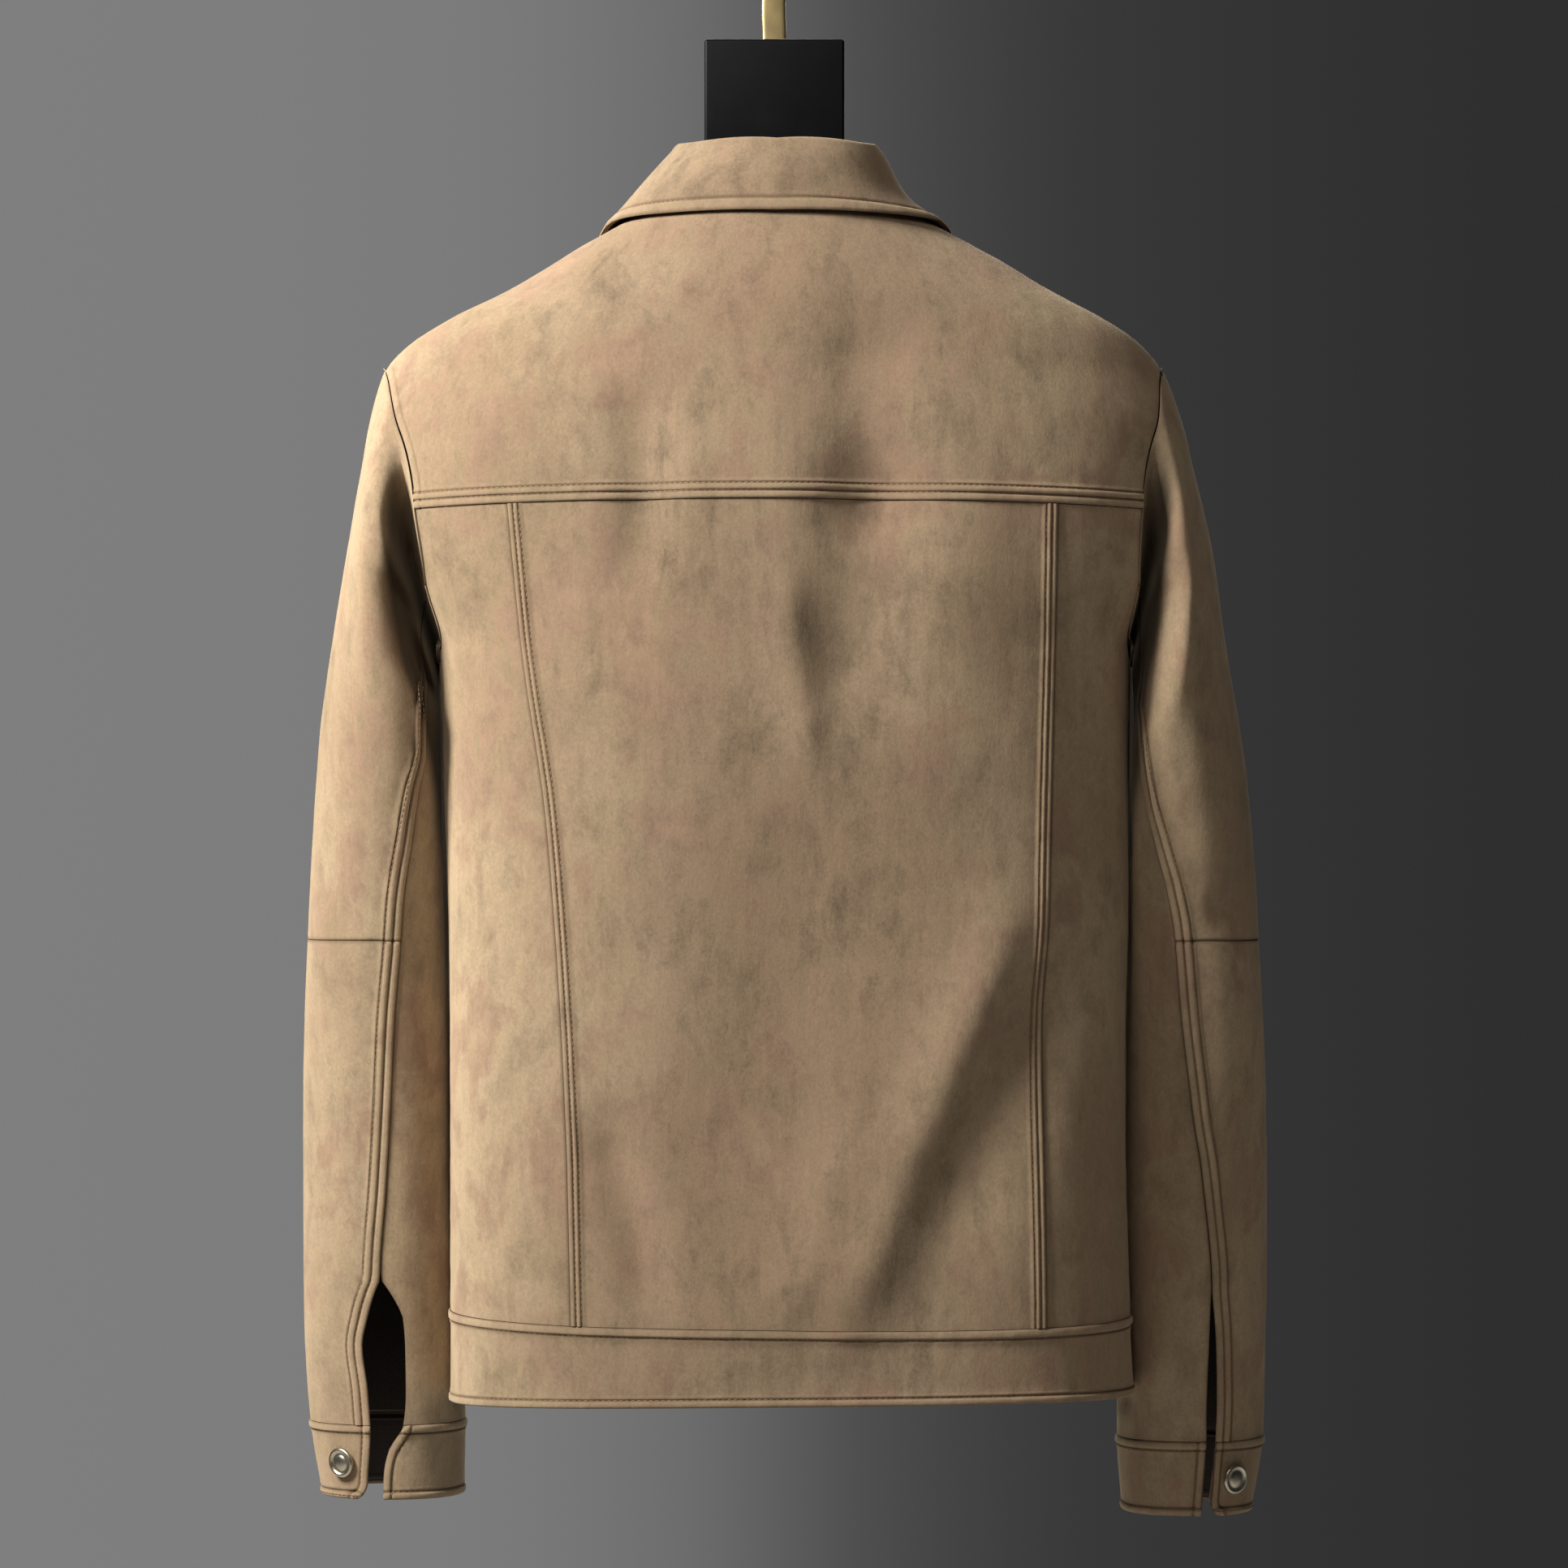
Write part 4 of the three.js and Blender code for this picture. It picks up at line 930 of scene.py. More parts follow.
def spread(
    rows: Array, surface: Surface, start: Bound, end: Bound, near: Array, far: Array, step: float
) -> Array:
    """The columns of a grid between two bounds, with given places beside each.

    Args:
        rows: The grid's rows.
        surface: The form, for its size in millimetres.
        start: The first column over the rows.
        end: The last column over the rows.
        near: Places in from the first column, in millimetres.
        far: Places in from the last column, in millimetres.
        step: About how far apart the others are, in millimetres.

    Returns:
        The columns, a row of them for each of the grid's rows.
    """
    first, last = start(rows), end(rows)
    middle = (first + last) / 2
    share = 0.01 * (last - first)
    places = (first, middle, last - share)
    size = [np.linalg.norm(surface(rows, at + share) - surface(rows, at), axis=-1) for at in places]
    rate = [share / np.maximum(s, 1e-6) for s in size]
    length = float(np.median(np.abs(last - first) / np.abs(rate[1])))
    count = max(2, round((length - near[-1] - far[-1]) / step))
    inner_first = first + near[-1] * rate[0]
    inner_last = last - far[-1] * rate[2]
    shares = np.linspace(0, 1, count + 1)[None, 1:-1]
    inner = inner_first[:, None] + (inner_last - inner_first)[:, None] * shares
    left = first[:, None] + rate[0][:, None] * near[None, :]
    right = last[:, None] - rate[2][:, None] * far[None, ::-1]
    return np.concatenate([left, inner, right], axis=1)


def stops(*parts: Array | Sequence[float]) -> Array:
    """Row places joined in order, with those that nearly repeat left out."""
    joined = np.sort(np.concatenate([np.asarray(part, float) for part in parts]))
    keep = np.concatenate(([True], np.diff(joined) > 0.28))
    return joined[keep]


def armhole_rows(step: float) -> Array:
    """Rings from the underarm to the shoulder tip, evenly round the armhole."""
    turns = np.radians(np.arange(0, 180 + step / 2, step))
    return np.sort(YOKE_SEAM + (SHOULDER_TIP - YOKE_SEAM) * np.cos(turns))


class Link:
    """A number or colour on its way through a material's nodes, with the operators that add Math nodes."""

    def __init__(self, nodes: "Nodes", socket: bpy.types.NodeSocket) -> None:
        """Keeps the material's nodes and the socket."""
        self.nodes = nodes
        self.socket = socket

    def math(self, operation: str, *others: Any) -> "Link":
        """Adds a Math node on this value and others."""
        inputs = {k: value for k, value in enumerate((self, *others))}
        return self.nodes.add("ShaderNodeMath", {"operation": operation}, inputs)

    def __add__(self, other: Any) -> "Link":
        """This value plus another."""
        return self.math("ADD", other)

    __radd__ = __add__

    def __mul__(self, other: Any) -> "Link":
        """This value times another."""
        return self.math("MULTIPLY", other)

    __rmul__ = __mul__

    def __sub__(self, other: Any) -> "Link":
        """This value less another."""
        return self.math("SUBTRACT", other)

    def __rsub__(self, other: float) -> "Link":
        """A number less this value."""
        return self.nodes.add("ShaderNodeMath", {"operation": "SUBTRACT"}, {0: other, 1: self})

    def clipped(self) -> "Link":
        """This value held between 0 and 1."""
        return self.nodes.add("ShaderNodeClamp", {}, {"Value": self})

    def step(self, low: float, high: float) -> "Link":
        """A soft step from 0 at low to 1 at high."""
        inputs = {"Value": self, "From Min": low, "From Max": high}
        return self.nodes.add("ShaderNodeMapRange", {"interpolation_type": "SMOOTHSTEP"}, inputs)


class Nodes:
    """A material's nodes, added one by one."""

    def __init__(self, name: str) -> None:
        """Makes an empty material."""
        self.material = bpy.data.materials.new(name)
        self.material.use_nodes = True
        self.tree = self.material.node_tree
        self.tree.nodes.clear()
        self.place = self.add("ShaderNodeTexCoord", {}, {}, "Object")

    def add(self, kind: str, settings: dict[str, Any], inputs: dict[Any, Any], output: Any = 0) -> Link:
        """Adds a node.

        Args:
            kind: The node's type.
            settings: Its own settings, set first.
            inputs: Values or links of its sockets, by name or place.
            output: The socket that is read, by name or place.

        Returns:
            The node's output as a link.
        """
        node = self.tree.nodes.new(kind)
        for name, value in settings.items():
            setattr(node, name, value)
        for key, value in inputs.items():
            if isinstance(value, Link):
                self.tree.links.new(value.socket, node.inputs[key])
            else:
                node.inputs[key].default_value = value
        return Link(self, node.outputs[output])

    def noise(
        self, scale: float, detail: float = 3, stretch: Sequence[float] = (1, 1, 1), **more: float
    ) -> Link:
        """Soft noise over the object's own space, between 0 and 1."""
        place = self.add("ShaderNodeMapping", {}, {"Vector": self.place, "Scale": stretch})
        inputs: dict[Any, Any] = {"Vector": place, "Scale": scale, "Detail": detail}
        inputs.update({name.replace("_", " ").title(): value for name, value in more.items()})
        return self.add("ShaderNodeTexNoise", {}, inputs, "Fac")

    def mix(self, share: Any, first: Any, second: Any, how: str = "MIX") -> Link:
        """Mixes two colours."""
        settings = {"data_type": "RGBA", "blend_type": how}
        return self.add("ShaderNodeMix", settings, {0: share, 6: first, 7: second}, 2)

    def ramp(self, place: Link, greys: Sequence[tuple[float, int]]) -> Link:
        """A smooth run of greys, given as places and screen greys."""
        colour = self.add("ShaderNodeValToRGB", {}, {"Fac": place}, "Color")
        ramp = colour.socket.node.color_ramp
        ramp.interpolation = "B_SPLINE"
        while len(ramp.elements) < len(greys):
            ramp.elements.new(0.5)
        for element, (at, grey) in zip(ramp.elements, greys):
            element.position = at
            element.color = tone(grey, grey, grey)
        return colour

    def attribute(self, name: str) -> Link:
        """A number that the mesh carries."""
        return self.add("ShaderNodeAttribute", {"attribute_name": name}, {}, "Fac")

    def bump(self, height: Link, strength: float, distance: float, under: Link | None = None) -> Link:
        """A normal that leans with a height."""
        inputs: dict[Any, Any] = {"Height": height, "Strength": strength, "Distance": distance}
        if under is not None:
            inputs["Normal"] = under
        return self.add("ShaderNodeBump", {}, inputs)

    def surface(self, inputs: dict[str, Any]) -> bpy.types.Material:
        """Ends the material in one Principled shader."""
        shader = self.add("ShaderNodeBsdfPrincipled", {}, inputs)
        output = self.tree.nodes.new("ShaderNodeOutputMaterial")
        self.tree.links.new(shader.socket, output.inputs["Surface"])
        return self.material


Colour = tuple[float, float, float, float]


def tone(red: int, green: int, blue: int) -> Colour:
    """A screen colour from 0 to 255 as the linear colour that a shader takes."""
    linear = [(c / 255 / 12.92) if c <= 10 else ((c / 255 + 0.055) / 1.055) ** 2.4 for c in (red, green, blue)]
    return (linear[0], linear[1], linear[2], 1.0)


@dataclass(frozen=True)
class SuedeFinish:
    """Brushed suede: mottled where the nap lies another way, darker and rosier down the middle of the back,
    lighter on crests as rubbed nap and painted highlight, darker in its grooves and turned edges as painted
    shade, and near black as painted shade in the sleeves' hollows beside the body.
    """

    name: str = "suede_nap"
    light: Colour = tone(188, 164, 132)
    ground: Colour = tone(170, 145, 115)
    rose: Colour = tone(158, 130, 106)
    olive: Colour = tone(140, 122, 94)
    # The painted shade colour for stitch grooves and turned edges
    groove: Colour = tone(98, 77, 55)
    # The painted shadow colour for the sleeves' hollows beside the body
    deep: Colour = tone(26, 18, 12)
    painted_shade_share: float = 0.97
    # Across the middle of the back the suede is made darker and rosier
    middle: tuple[float, float] = (0.17, 0.05)
    middle_dark: float = 0.15
    middle_rose: float = 0.3

    def material(self) -> bpy.types.Material:
        """Builds the material."""
        n = Nodes(self.name)
        drift = n.noise(7.5, 3, (1, 1, 0.7), roughness=0.5)
        patch = n.noise(24, 5, (1, 1, 0.7), roughness=0.66, distortion=0.25)
        brushed = n.noise(70, 5, (1, 1, 0.55), roughness=0.7, distortion=0.3)
        streak = n.noise(150, 4, (1, 1, 0.1), roughness=0.65)
        grain = n.noise(620, 3, (1, 1, 0.8), roughness=0.7)
        fibre = n.noise(2300, 2, (1, 1, 0.55), roughness=0.6)
        colour = n.mix(drift.step(0.38, 0.64), self.ground, self.light)
        colour = n.mix(patch.step(0.46, 0.62) * 0.95, colour, self.rose)
        colour = n.mix(brushed.step(0.5, 0.68) * (drift.step(0.62, 0.42) * 0.55 + 0.3), colour, self.olive)
        colour = n.mix(streak.step(0.54, 0.74) * 0.34, colour, self.rose)
        colour = n.mix(streak.step(0.46, 0.28) * 0.3, colour, self.light)
        nap = (grain - 0.5) * 0.5 + (fibre - 0.5) * 0.35 + (brushed - 0.5) * 0.95 + (patch - 0.5) * 1.15 + 1.0
        nap = nap + (streak - 0.5) * 0.35
        # Darker and rosier across the middle of the back, by distance from the centre line
        across = n.add("ShaderNodeSeparateXYZ", {}, {"Vector": n.place}, "X").math("ABSOLUTE")
        darker_middle = across.step(*self.middle)
        nap = nap - darker_middle * self.middle_dark
        colour = n.mix(darker_middle * self.middle_rose, colour, self.rose)
        shade = n.add("ShaderNodeCombineColor", {}, {0: nap, 1: nap, 2: nap})
        colour = n.mix(1.0, colour, shade, "MULTIPLY")
        # Crests painted lighter as rubbed nap and highlight; grooves and turned edges painted darker as shade
        rubbed_highlight_and_shade = n.attribute("crest")
        colour = n.mix((rubbed_highlight_and_shade * 0.34).clipped(), colour, self.light)
        colour = n.mix((rubbed_highlight_and_shade * -0.62).clipped(), colour, self.groove)
        # Painted shade: the sleeves' hollows beside the body are painted near black
        colour = n.mix((n.attribute("shade") * self.painted_shade_share).clipped(), colour, self.deep)
        height = brushed * 0.5 + grain * 0.35 + fibre * 0.25
        normal = n.bump(patch + streak * 0.4, 0.35, 0.0011)
        normal = n.bump(height, 0.55, 0.00055, normal)
        return n.surface(
            {
                "Base Color": colour,
                "Roughness": 0.94,
                "Normal": normal,
                "Diffuse Roughness": 0.8,
                "Specular IOR Level": 0.12,
                "Sheen Weight": 0.28,
                "Sheen Roughness": 0.55,
                "Sheen Tint": tone(236, 214, 182),
            }
        )


@dataclass(frozen=True)
class LiningAndShadeFinish:
    """Dark, dull cloth on the inside of every piece: a guessed lining, kept this dark as painted shade for the
    shadowed insides.
    """

    name: str = "dark_lining_painted_shade"
    colour: Colour = tone(44, 36, 30)

    def material(self) -> bpy.types.Material:
        """Builds the material."""
        n = Nodes(self.name)
        weave = n.noise(900, 3)
        colour = n.mix(weave.step(0.3, 0.7), self.colour, tone(56, 46, 38))
        return n.surface({"Base Color": colour, "Roughness": 0.9, "Normal": n.bump(weave, 0.3, 0.0002)})


@dataclass(frozen=True)
class ThreadFinish:
    """Matt sewing thread, a little darker than the suede."""

    name: str = "sewing_thread"
    colour: Colour = tone(134, 108, 79)

    def material(self) -> bpy.types.Material:
        """Builds the material."""
        n = Nodes(self.name)
        twist = n.noise(2600, 2, (1, 1, 1))
        colour = n.mix(twist.step(0.35, 0.65), self.colour, tone(146, 119, 88))
        return n.surface({"Base Color": colour, "Roughness": 0.85, "Normal": n.bump(twist, 0.4, 0.0002)})


@dataclass(frozen=True)
class MetalFinish:
    """Satin metal, with faint rubbing marks and duller patches at random."""

    name: str
    bright: Colour
    dull: Colour
    roughness: float
    brushed: tuple[float, float, float] = (1, 1, 1)

    def material(self) -> bpy.types.Material:
        """Builds the material."""
        n = Nodes(self.name)
        marks = n.noise(420, 4, self.brushed, roughness=0.65)
        cloud = n.noise(60, 3)
        colour = n.mix(cloud.step(0.4, 0.7) * 0.6, self.bright, self.dull)
        return n.surface(
            {
                "Base Color": colour,
                "Metallic": 1.0,
                "Roughness": marks * 0.22 + (self.roughness - 0.08),
                "Normal": n.bump(marks, 0.18, 0.0002),
            }
        )


@dataclass(frozen=True)
class PlateFinish:
    """Satin black plastic with a fine moulded grain."""

    name: str = "hanger_satin_black"
    colour: Colour = tone(11, 11, 12)

    def material(self) -> bpy.types.Material:
        """Builds the material."""
        n = Nodes(self.name)
        grain = n.noise(1500, 3)
        dust = n.noise(35, 4, roughness=0.7)
        colour = n.mix(dust.step(0.45, 0.8) * 0.5, self.colour, tone(15, 15, 16))
        normal = n.bump(grain, 0.25, 0.00015)
        inputs = {"Base Color": colour, "Roughness": dust * 0.18 + 0.34, "Normal": normal}
        return n.surface({**inputs, "Specular IOR Level": 0.12})


class Finishes:
    """The materials that the pieces share."""

    def __init__(self) -> None:
        """Builds each finish once."""
        self.suede = SuedeFinish().material()
        self.lining_and_shade = LiningAndShadeFinish().material()
        self.thread = ThreadFinish().material()
        self.button = MetalFinish("button_metal", tone(214, 205, 184), tone(168, 154, 124), 0.3).material()
        brass = MetalFinish("hook_brass", tone(214, 190, 134), tone(170, 150, 112), 0.34, (0.3, 1, 0.05))
        self.brass = brass.material()
        self.black = PlateFinish().material()


class Sewing:
    """Rows of thread stitches laid in a piece's grooves."""

    pitch = 3.2
    length = 2.7
    thickness = 0.36

    def __init__(self) -> None:
        """Starts with no stitches."""
        self.places: list[Matrix] = []

    def sew(self, cloth: Cloth, seam: Seam) -> None:
        """Lays a row of stitches in each groove of a seam.

        Args:
            cloth: The piece.
            seam: The seam beside one of its edges.
        """
        for groove in seam.grooves:
            points, out = self.path(cloth, seam.edge, groove)
            walked = lengths_along(points, 0)
            points, out = points[walked >= seam.begins], out[walked >= seam.begins]
            rise, _ = cloth.relief(points)
            raised = points + out * (rise + cloth.ripple * creases(points) + 0.12)[:, None]
            self.lay(raised, out)

    def path(self, cloth: Cloth, edge: Edge, groove: float) -> tuple[Array, Array]:
        """Points and ways out along a line that keeps its distance from an edge."""
        if edge in (Edge.START, Edge.END):
            rows = np.linspace(cloth.rows[0], cloth.rows[-1], 160)
            at = [np.interp(rows, cloth.rows, cloth.columns[:, k]) for k in range(cloth.columns.shape[1])]
            columns = np.stack(at, axis=1)
            points = cloth.surface(np.broadcast_to(rows[:, None], columns.shape), columns)
            if edge is Edge.END:
                points, columns = points[:, ::-1], columns[:, ::-1]
            walk = lengths_along(points, 1)
            column = np.array([np.interp(groove, walk[j], columns[j]) for j in range(len(rows))])
            return cloth.surface(rows, column), cloth.normal(rows, column)
        share = np.linspace(0, 1, 260)
        places = share * (cloth.columns.shape[1] - 1)
        order = slice(None) if edge is Edge.BOTTOM else slice(None, None, -1)
        rows = cloth.rows[order]
        numbers = np.arange(cloth.columns.shape[1])
        taken = np.array([np.interp(places, numbers, line) for line in cloth.columns[order]])
        points = cloth.surface(np.broadcast_to(rows[:, None], taken.shape), taken)
        walk = lengths_along(points, 0)
        row = np.array([np.interp(groove, walk[:, i], rows) for i in range(len(share))])
        column = np.array([np.interp(groove, walk[:, i], taken[:, i]) for i in range(len(share))])
        return cloth.surface(row, column), cloth.normal(row, column)

    def lay(self, points: Array, out: Array) -> None:
        """Places stitches at an even pitch along points."""
        run = lengths_along(points, 0)
        at = np.arange(self.pitch, run[-1] - self.pitch, self.pitch)
        if not len(at):
            return
        place = np.stack([np.interp(at, run, points[:, k]) for k in range(3)], axis=1)
        ahead = np.stack([np.interp(at + 0.5, run, points[:, k]) for k in range(3)], axis=1)
        up = unit(np.stack([np.interp(at, run, out[:, k]) for k in range(3)], axis=1))
        along = unit(ahead - place)
        for p, a, u in zip(place, along, up):
            forward, upward = Vector(a), Vector(u)
            aside = upward.cross(forward).normalized()
            upward = forward.cross(aside)
            turn = Matrix((forward, aside, upward)).transposed().to_4x4()
            self.places.append(Matrix.Translation(Vector(p) * MM) @ turn)

    def build(self, name: str) -> bpy.types.Object | None:
        """Joins the stitches into one mesh."""
        if not self.places:
            return None
        seed = bmesh.new()
        bmesh.ops.create_uvsphere(seed, u_segments=6, v_segments=4, radius=1)
        size = Vector((self.length / 2, self.thickness, self.thickness * 0.75)) * MM
        bmesh.ops.rotate(seed, verts=seed.verts, cent=(0, 0, 0), matrix=Matrix.Rotation(math.pi / 2, 3, "Y"))
        bmesh.ops.scale(seed, verts=seed.verts, vec=size)
        shape = bpy.data.meshes.new("stitch")
        seed.to_mesh(shape)
        seed.free()
        co = np.zeros(len(shape.vertices) * 3)
        shape.vertices.foreach_get("co", co)
        co = np.c_[co.reshape(-1, 3), np.ones(len(shape.vertices))]
        faces = [tuple(face.vertices) for face in shape.polygons]
        bpy.data.meshes.remove(shape)
        verts = np.concatenate([(co @ np.array(m).T)[:, :3] for m in self.places])
        joined = [tuple(v + k * len(co) for v in face) for k in range(len(self.places)) for face in faces]
        mesh = bpy.data.meshes.new(name)
        mesh.from_pydata(verts.tolist(), [], joined)
        mesh.shade_smooth()
        obj = bpy.data.objects.new(name, mesh)
        bpy.context.scene.collection.objects.link(obj)
        return obj


def put_on(
    obj: bpy.types.Object, material: bpy.types.Material | None, replaced: Sequence[str] = ()
) -> None:
    """Dresses a piece, and joins it to the jacket's one body.

    Args:
        obj: The piece.
        material: Its finish, or none where it has its own already.
        replaced: The solids that it stands for.
    """
    if material is not None:
        obj.data.materials.clear()
        obj.data.materials.append(material)
    if replaced:
        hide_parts(*replaced)
    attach(obj, BODY)


@dataclass
class Garment:
    """Shared work of the jacket's parts: building pieces of cloth and sewing them."""

    finishes: Finishes

    def make(self, cloth: Cloth) -> bpy.types.Object:
        """Builds one piece of cloth with its stitches.

        Args:
            cloth: The piece, named as the solid that it replaces.

        Returns:
            The finished piece.
        """
        obj = cloth.build([self.finishes.suede, self.finishes.lining_and_shade])
        obj.name = cloth.name + "_cloth"
        put_on(obj, None, [cloth.name])
        sewing = Sewing()
        for seam in cloth.seams:
            if seam.stitched:
                sewing.sew(cloth, seam)
        thread = sewing.build(cloth.name + "_thread")
        if thread is not None:
            put_on(thread, self.finishes.thread)
        size = sum(face.area for face in obj.data.polygons) / 2
        LOG.info("%s: %d triangles, %.4f square metres a side", cloth.name, 2 * len(obj.data.polygons), size)
        return obj

    def on_body(
        self,
        name: str,
        rows: Array,
        columns: Array,
        seams: tuple[Seam, ...],
        surface: Surface = SHAPE.point,
        **more: Any,
    ) -> None:
        """Builds a piece that lies on the body.

        Args:
            name: The solid that it replaces.
            rows: Its rows.
            columns: Its columns.
            seams: How its edges are sewn.
            surface: The form that it lies on.
            **more: Its flat size, which is not used, and what else differs from plain cloth.
        """
        self.make(Cloth(name, surface, SHAPE.normal, rows, columns, seams, **more))


def body_edge(side: int, on: int) -> Bound:
    """The outer edge of a panel on the left (-1) or right (1), of the back (-1) or the front (1)."""
    return lambda rows: side * SHAPE.side_edge(rows, on)


def front_line(x: float, turned: float = 0.0) -> Bound:
    """The line down the front at a distance from the centre, some whole turn back where a piece needs it."""
    return lambda rows: SHAPE.angle_at_x(rows, x, 1) - turned


def level_at(angle: float) -> Bound:
    """The same angle over all the rows."""
    return lambda rows: np.full_like(rows, angle)


@dataclass
class Back(Garment):
    """The back: a centre panel lapped over two side panels, and a yoke lapped over all three."""

    row_step: float = 4.6
    column_step: float = 4.4

    def left_seam(self, row: Array) -> Array:
        """The left long seam's angle."""
        return SHAPE.angle_at_x(row, BACK_SEAMS.at("left", row), -1)

    def right_seam(self, row: Array) -> Array:
        """The right long seam's angle."""
        return SHAPE.angle_at_x(row, BACK_SEAMS.at("right", row), -1)

    def lower_rows(self) -> Array:
        """Rows from the hem band up to the yoke."""
        plain = np.arange(BAND_TOP, UNDERARM, self.row_step)
        hole = armhole_rows(4)
        return stops(BAND_TOP + PLAIN, plain, hole[hole <= YOKE_SEAM], YOKE_SEAM - PLAIN)

    def build(self) -> None:
        """Builds the four panels."""
        rows = self.lower_rows()
        lap = beside(PRINCESS_GROOVES, 9.5)
        edge = beside(ARMHOLE_GROOVE, 8)
        step = self.column_step
        centre = spread(rows, SHAPE.base, self.left_seam, self.right_seam, lap, lap, step)
        left = spread(rows, SHAPE.base, body_edge(-1, -1), self.left_seam, edge, PLAIN, step)
        right = spread(rows, SHAPE.base, self.right_seam, body_edge(1, -1), PLAIN, edge, step)
        lapped = (Seam(Edge.START, PRINCESS_GROOVES, 1.0), Seam(Edge.END, PRINCESS_GROOVES, 1.0))
        plain = (Seam(Edge.START), Seam(Edge.END))
        self.on_body("back_centre_panel", rows, centre, lapped, cut=(0.3, 0.44), area=0.122)
        self.on_body("back_side_panel_left", rows, left, plain, cut=(0.125, 0.44), area=0.045)
        self.on_body("back_side_panel_right", rows, right, plain, cut=(0.11, 0.44), area=0.04)
        hole = armhole_rows(4)
        shoulder = np.arange(SHOULDER_TIP, NECK, 4.2)
        lap = YOKE_SEAM + beside(YOKE_GROOVES, 13)
        upper = stops(lap, hole[hole > YOKE_SEAM + 13], shoulder, NECK - PLAIN)
        columns = spread(upper, SHAPE.base, body_edge(-1, -1), body_edge(1, -1), edge, edge, step)
        seams = (
            Seam(Edge.BOTTOM, YOKE_GROOVES, 1.0),
            Seam(Edge.START, ARMHOLE_GROOVE, 0.0, 0.25, False, 0.35),
            Seam(Edge.END, (), 0.0, 0.25),
        )
        self.on_body("back_yoke", upper, columns, seams, cut=(0.46, 0.22), area=0.082)


def under_placket(x: Array) -> Array:
    """How far the right front lies in, under the placket."""
    return -(SUEDE + 2 * SEAM_GAP) * (1 - smooth(x, PLACKET_HALF + 1, PLACKET_HALF + 12))


def sunk_front(side: Array, angle: Array) -> Array:
    """The body's surface, let in under the placket on the wearer's right front."""
    point = SHAPE.point(side, angle)
    sunk = np.where((np.asarray(angle) > 0) & (point[..., 1] > 0), under_placket(point[..., 0]), 0)
    return point + SHAPE.normal(side, angle) * sunk[..., None]


@dataclass
class Front(Garment):
    """The two fronts, the placket on the left one's edge, and the metal buttons down it."""

    row_step: float = 5.0
    column_step: float = 5.0

    def rows(self) -> Array:
        """Rows from the hem band to the neck."""
        plain = np.arange(BAND_TOP, UNDERARM, self.row_step)
        shoulder = np.arange(SHOULDER_TIP, NECK, 4.6)
        return stops(BAND_TOP + PLAIN, plain, armhole_rows(4), shoulder, NECK - PLAIN)

    def build(self) -> None:
        """Builds the fronts and the placket."""
        rows = self.rows()
        edge = beside(ARMHOLE_GROOVE, 8)
        step = self.column_step
        left = spread(rows, SHAPE.base, front_line(-PLACKET_HALF, 360), body_edge(-1, 1), PLAIN, edge, step)
        seams = (Seam(Edge.START), Seam(Edge.END, ARMHOLE_GROOVE, 0.0))
        self.on_body("front_left", rows, left, seams, cut=(0.25, 0.6), area=0.11)
        right = spread(rows, SHAPE.base, body_edge(1, 1), front_line(-UNDERLAP), edge, PLAIN, step)
        seams = (Seam(Edge.START, ARMHOLE_GROOVE, 0.0), Seam(Edge.END))
        self.on_body("front_right", rows, right, seams, sunk_front, cut=(0.28, 0.6), area=0.13)
        strip = beside(PLACKET_GROOVE, 8)
        start, end = front_line(PLACKET_HALF), front_line(-PLACKET_HALF)
        placket = spread(rows, SHAPE.base, start, end, strip, strip, 4)
        seams = (Seam(Edge.START, PLACKET_GROOVE, 0.3), Seam(Edge.END, PLACKET_GROOVE, 0.3))
        self.on_body("front_placket", rows, placket, seams, cut=(0.04, 0.56), ripple=0.4)

    def buttons(self) -> list[tuple[str, Array, Array]]:
        """The names, places and ways out of the front's buttons."""
        names = [f"front_button_{i + 1}" for i in range(len(FRONT_BUTTON_HEIGHTS))] + ["hem_band_button"]
        places = []
        for name, side in zip(names, (*FRONT_BUTTON_HEIGHTS, BAND_BUTTON_HEIGHT)):
            angle = SHAPE.angle_at_x(np.array(float(side)), 0, 1)
            places.append((name, SHAPE.point(side, angle), SHAPE.normal(side, angle)))
        return places


@dataclass
class HemBand(Garment):
    """One strip round the hem, its left end over its right end at the centre front."""

    def build(self) -> None:
        """Builds the band."""
        rib = beside(BAND_TOP_GROOVE, 8)
        plain = np.arange(BAND_BOTTOM + 8, BAND_TOP - 8, 4.4)
        rows = stops(BAND_BOTTOM + beside(HEM_GROOVE, 7.5), plain, BAND_TOP - rib)
        start, end = front_line(PLACKET_HALF, 360), front_line(-UNDERLAP)
        columns = spread(rows, SHAPE.base, start, end, beside(PLACKET_GROOVE, 8), PLAIN, 4.4)
        seams = (
            Seam(Edge.BOTTOM, HEM_GROOVE, 0.6),
            Seam(Edge.TOP, BAND_TOP_GROOVE, 0.8),
            Seam(Edge.START, PLACKET_GROOVE, 0.2),
        )
        self.on_body("hem_band", rows, columns, seams, sunk_front, cut=(1.02, 0.046), ripple=0.5)


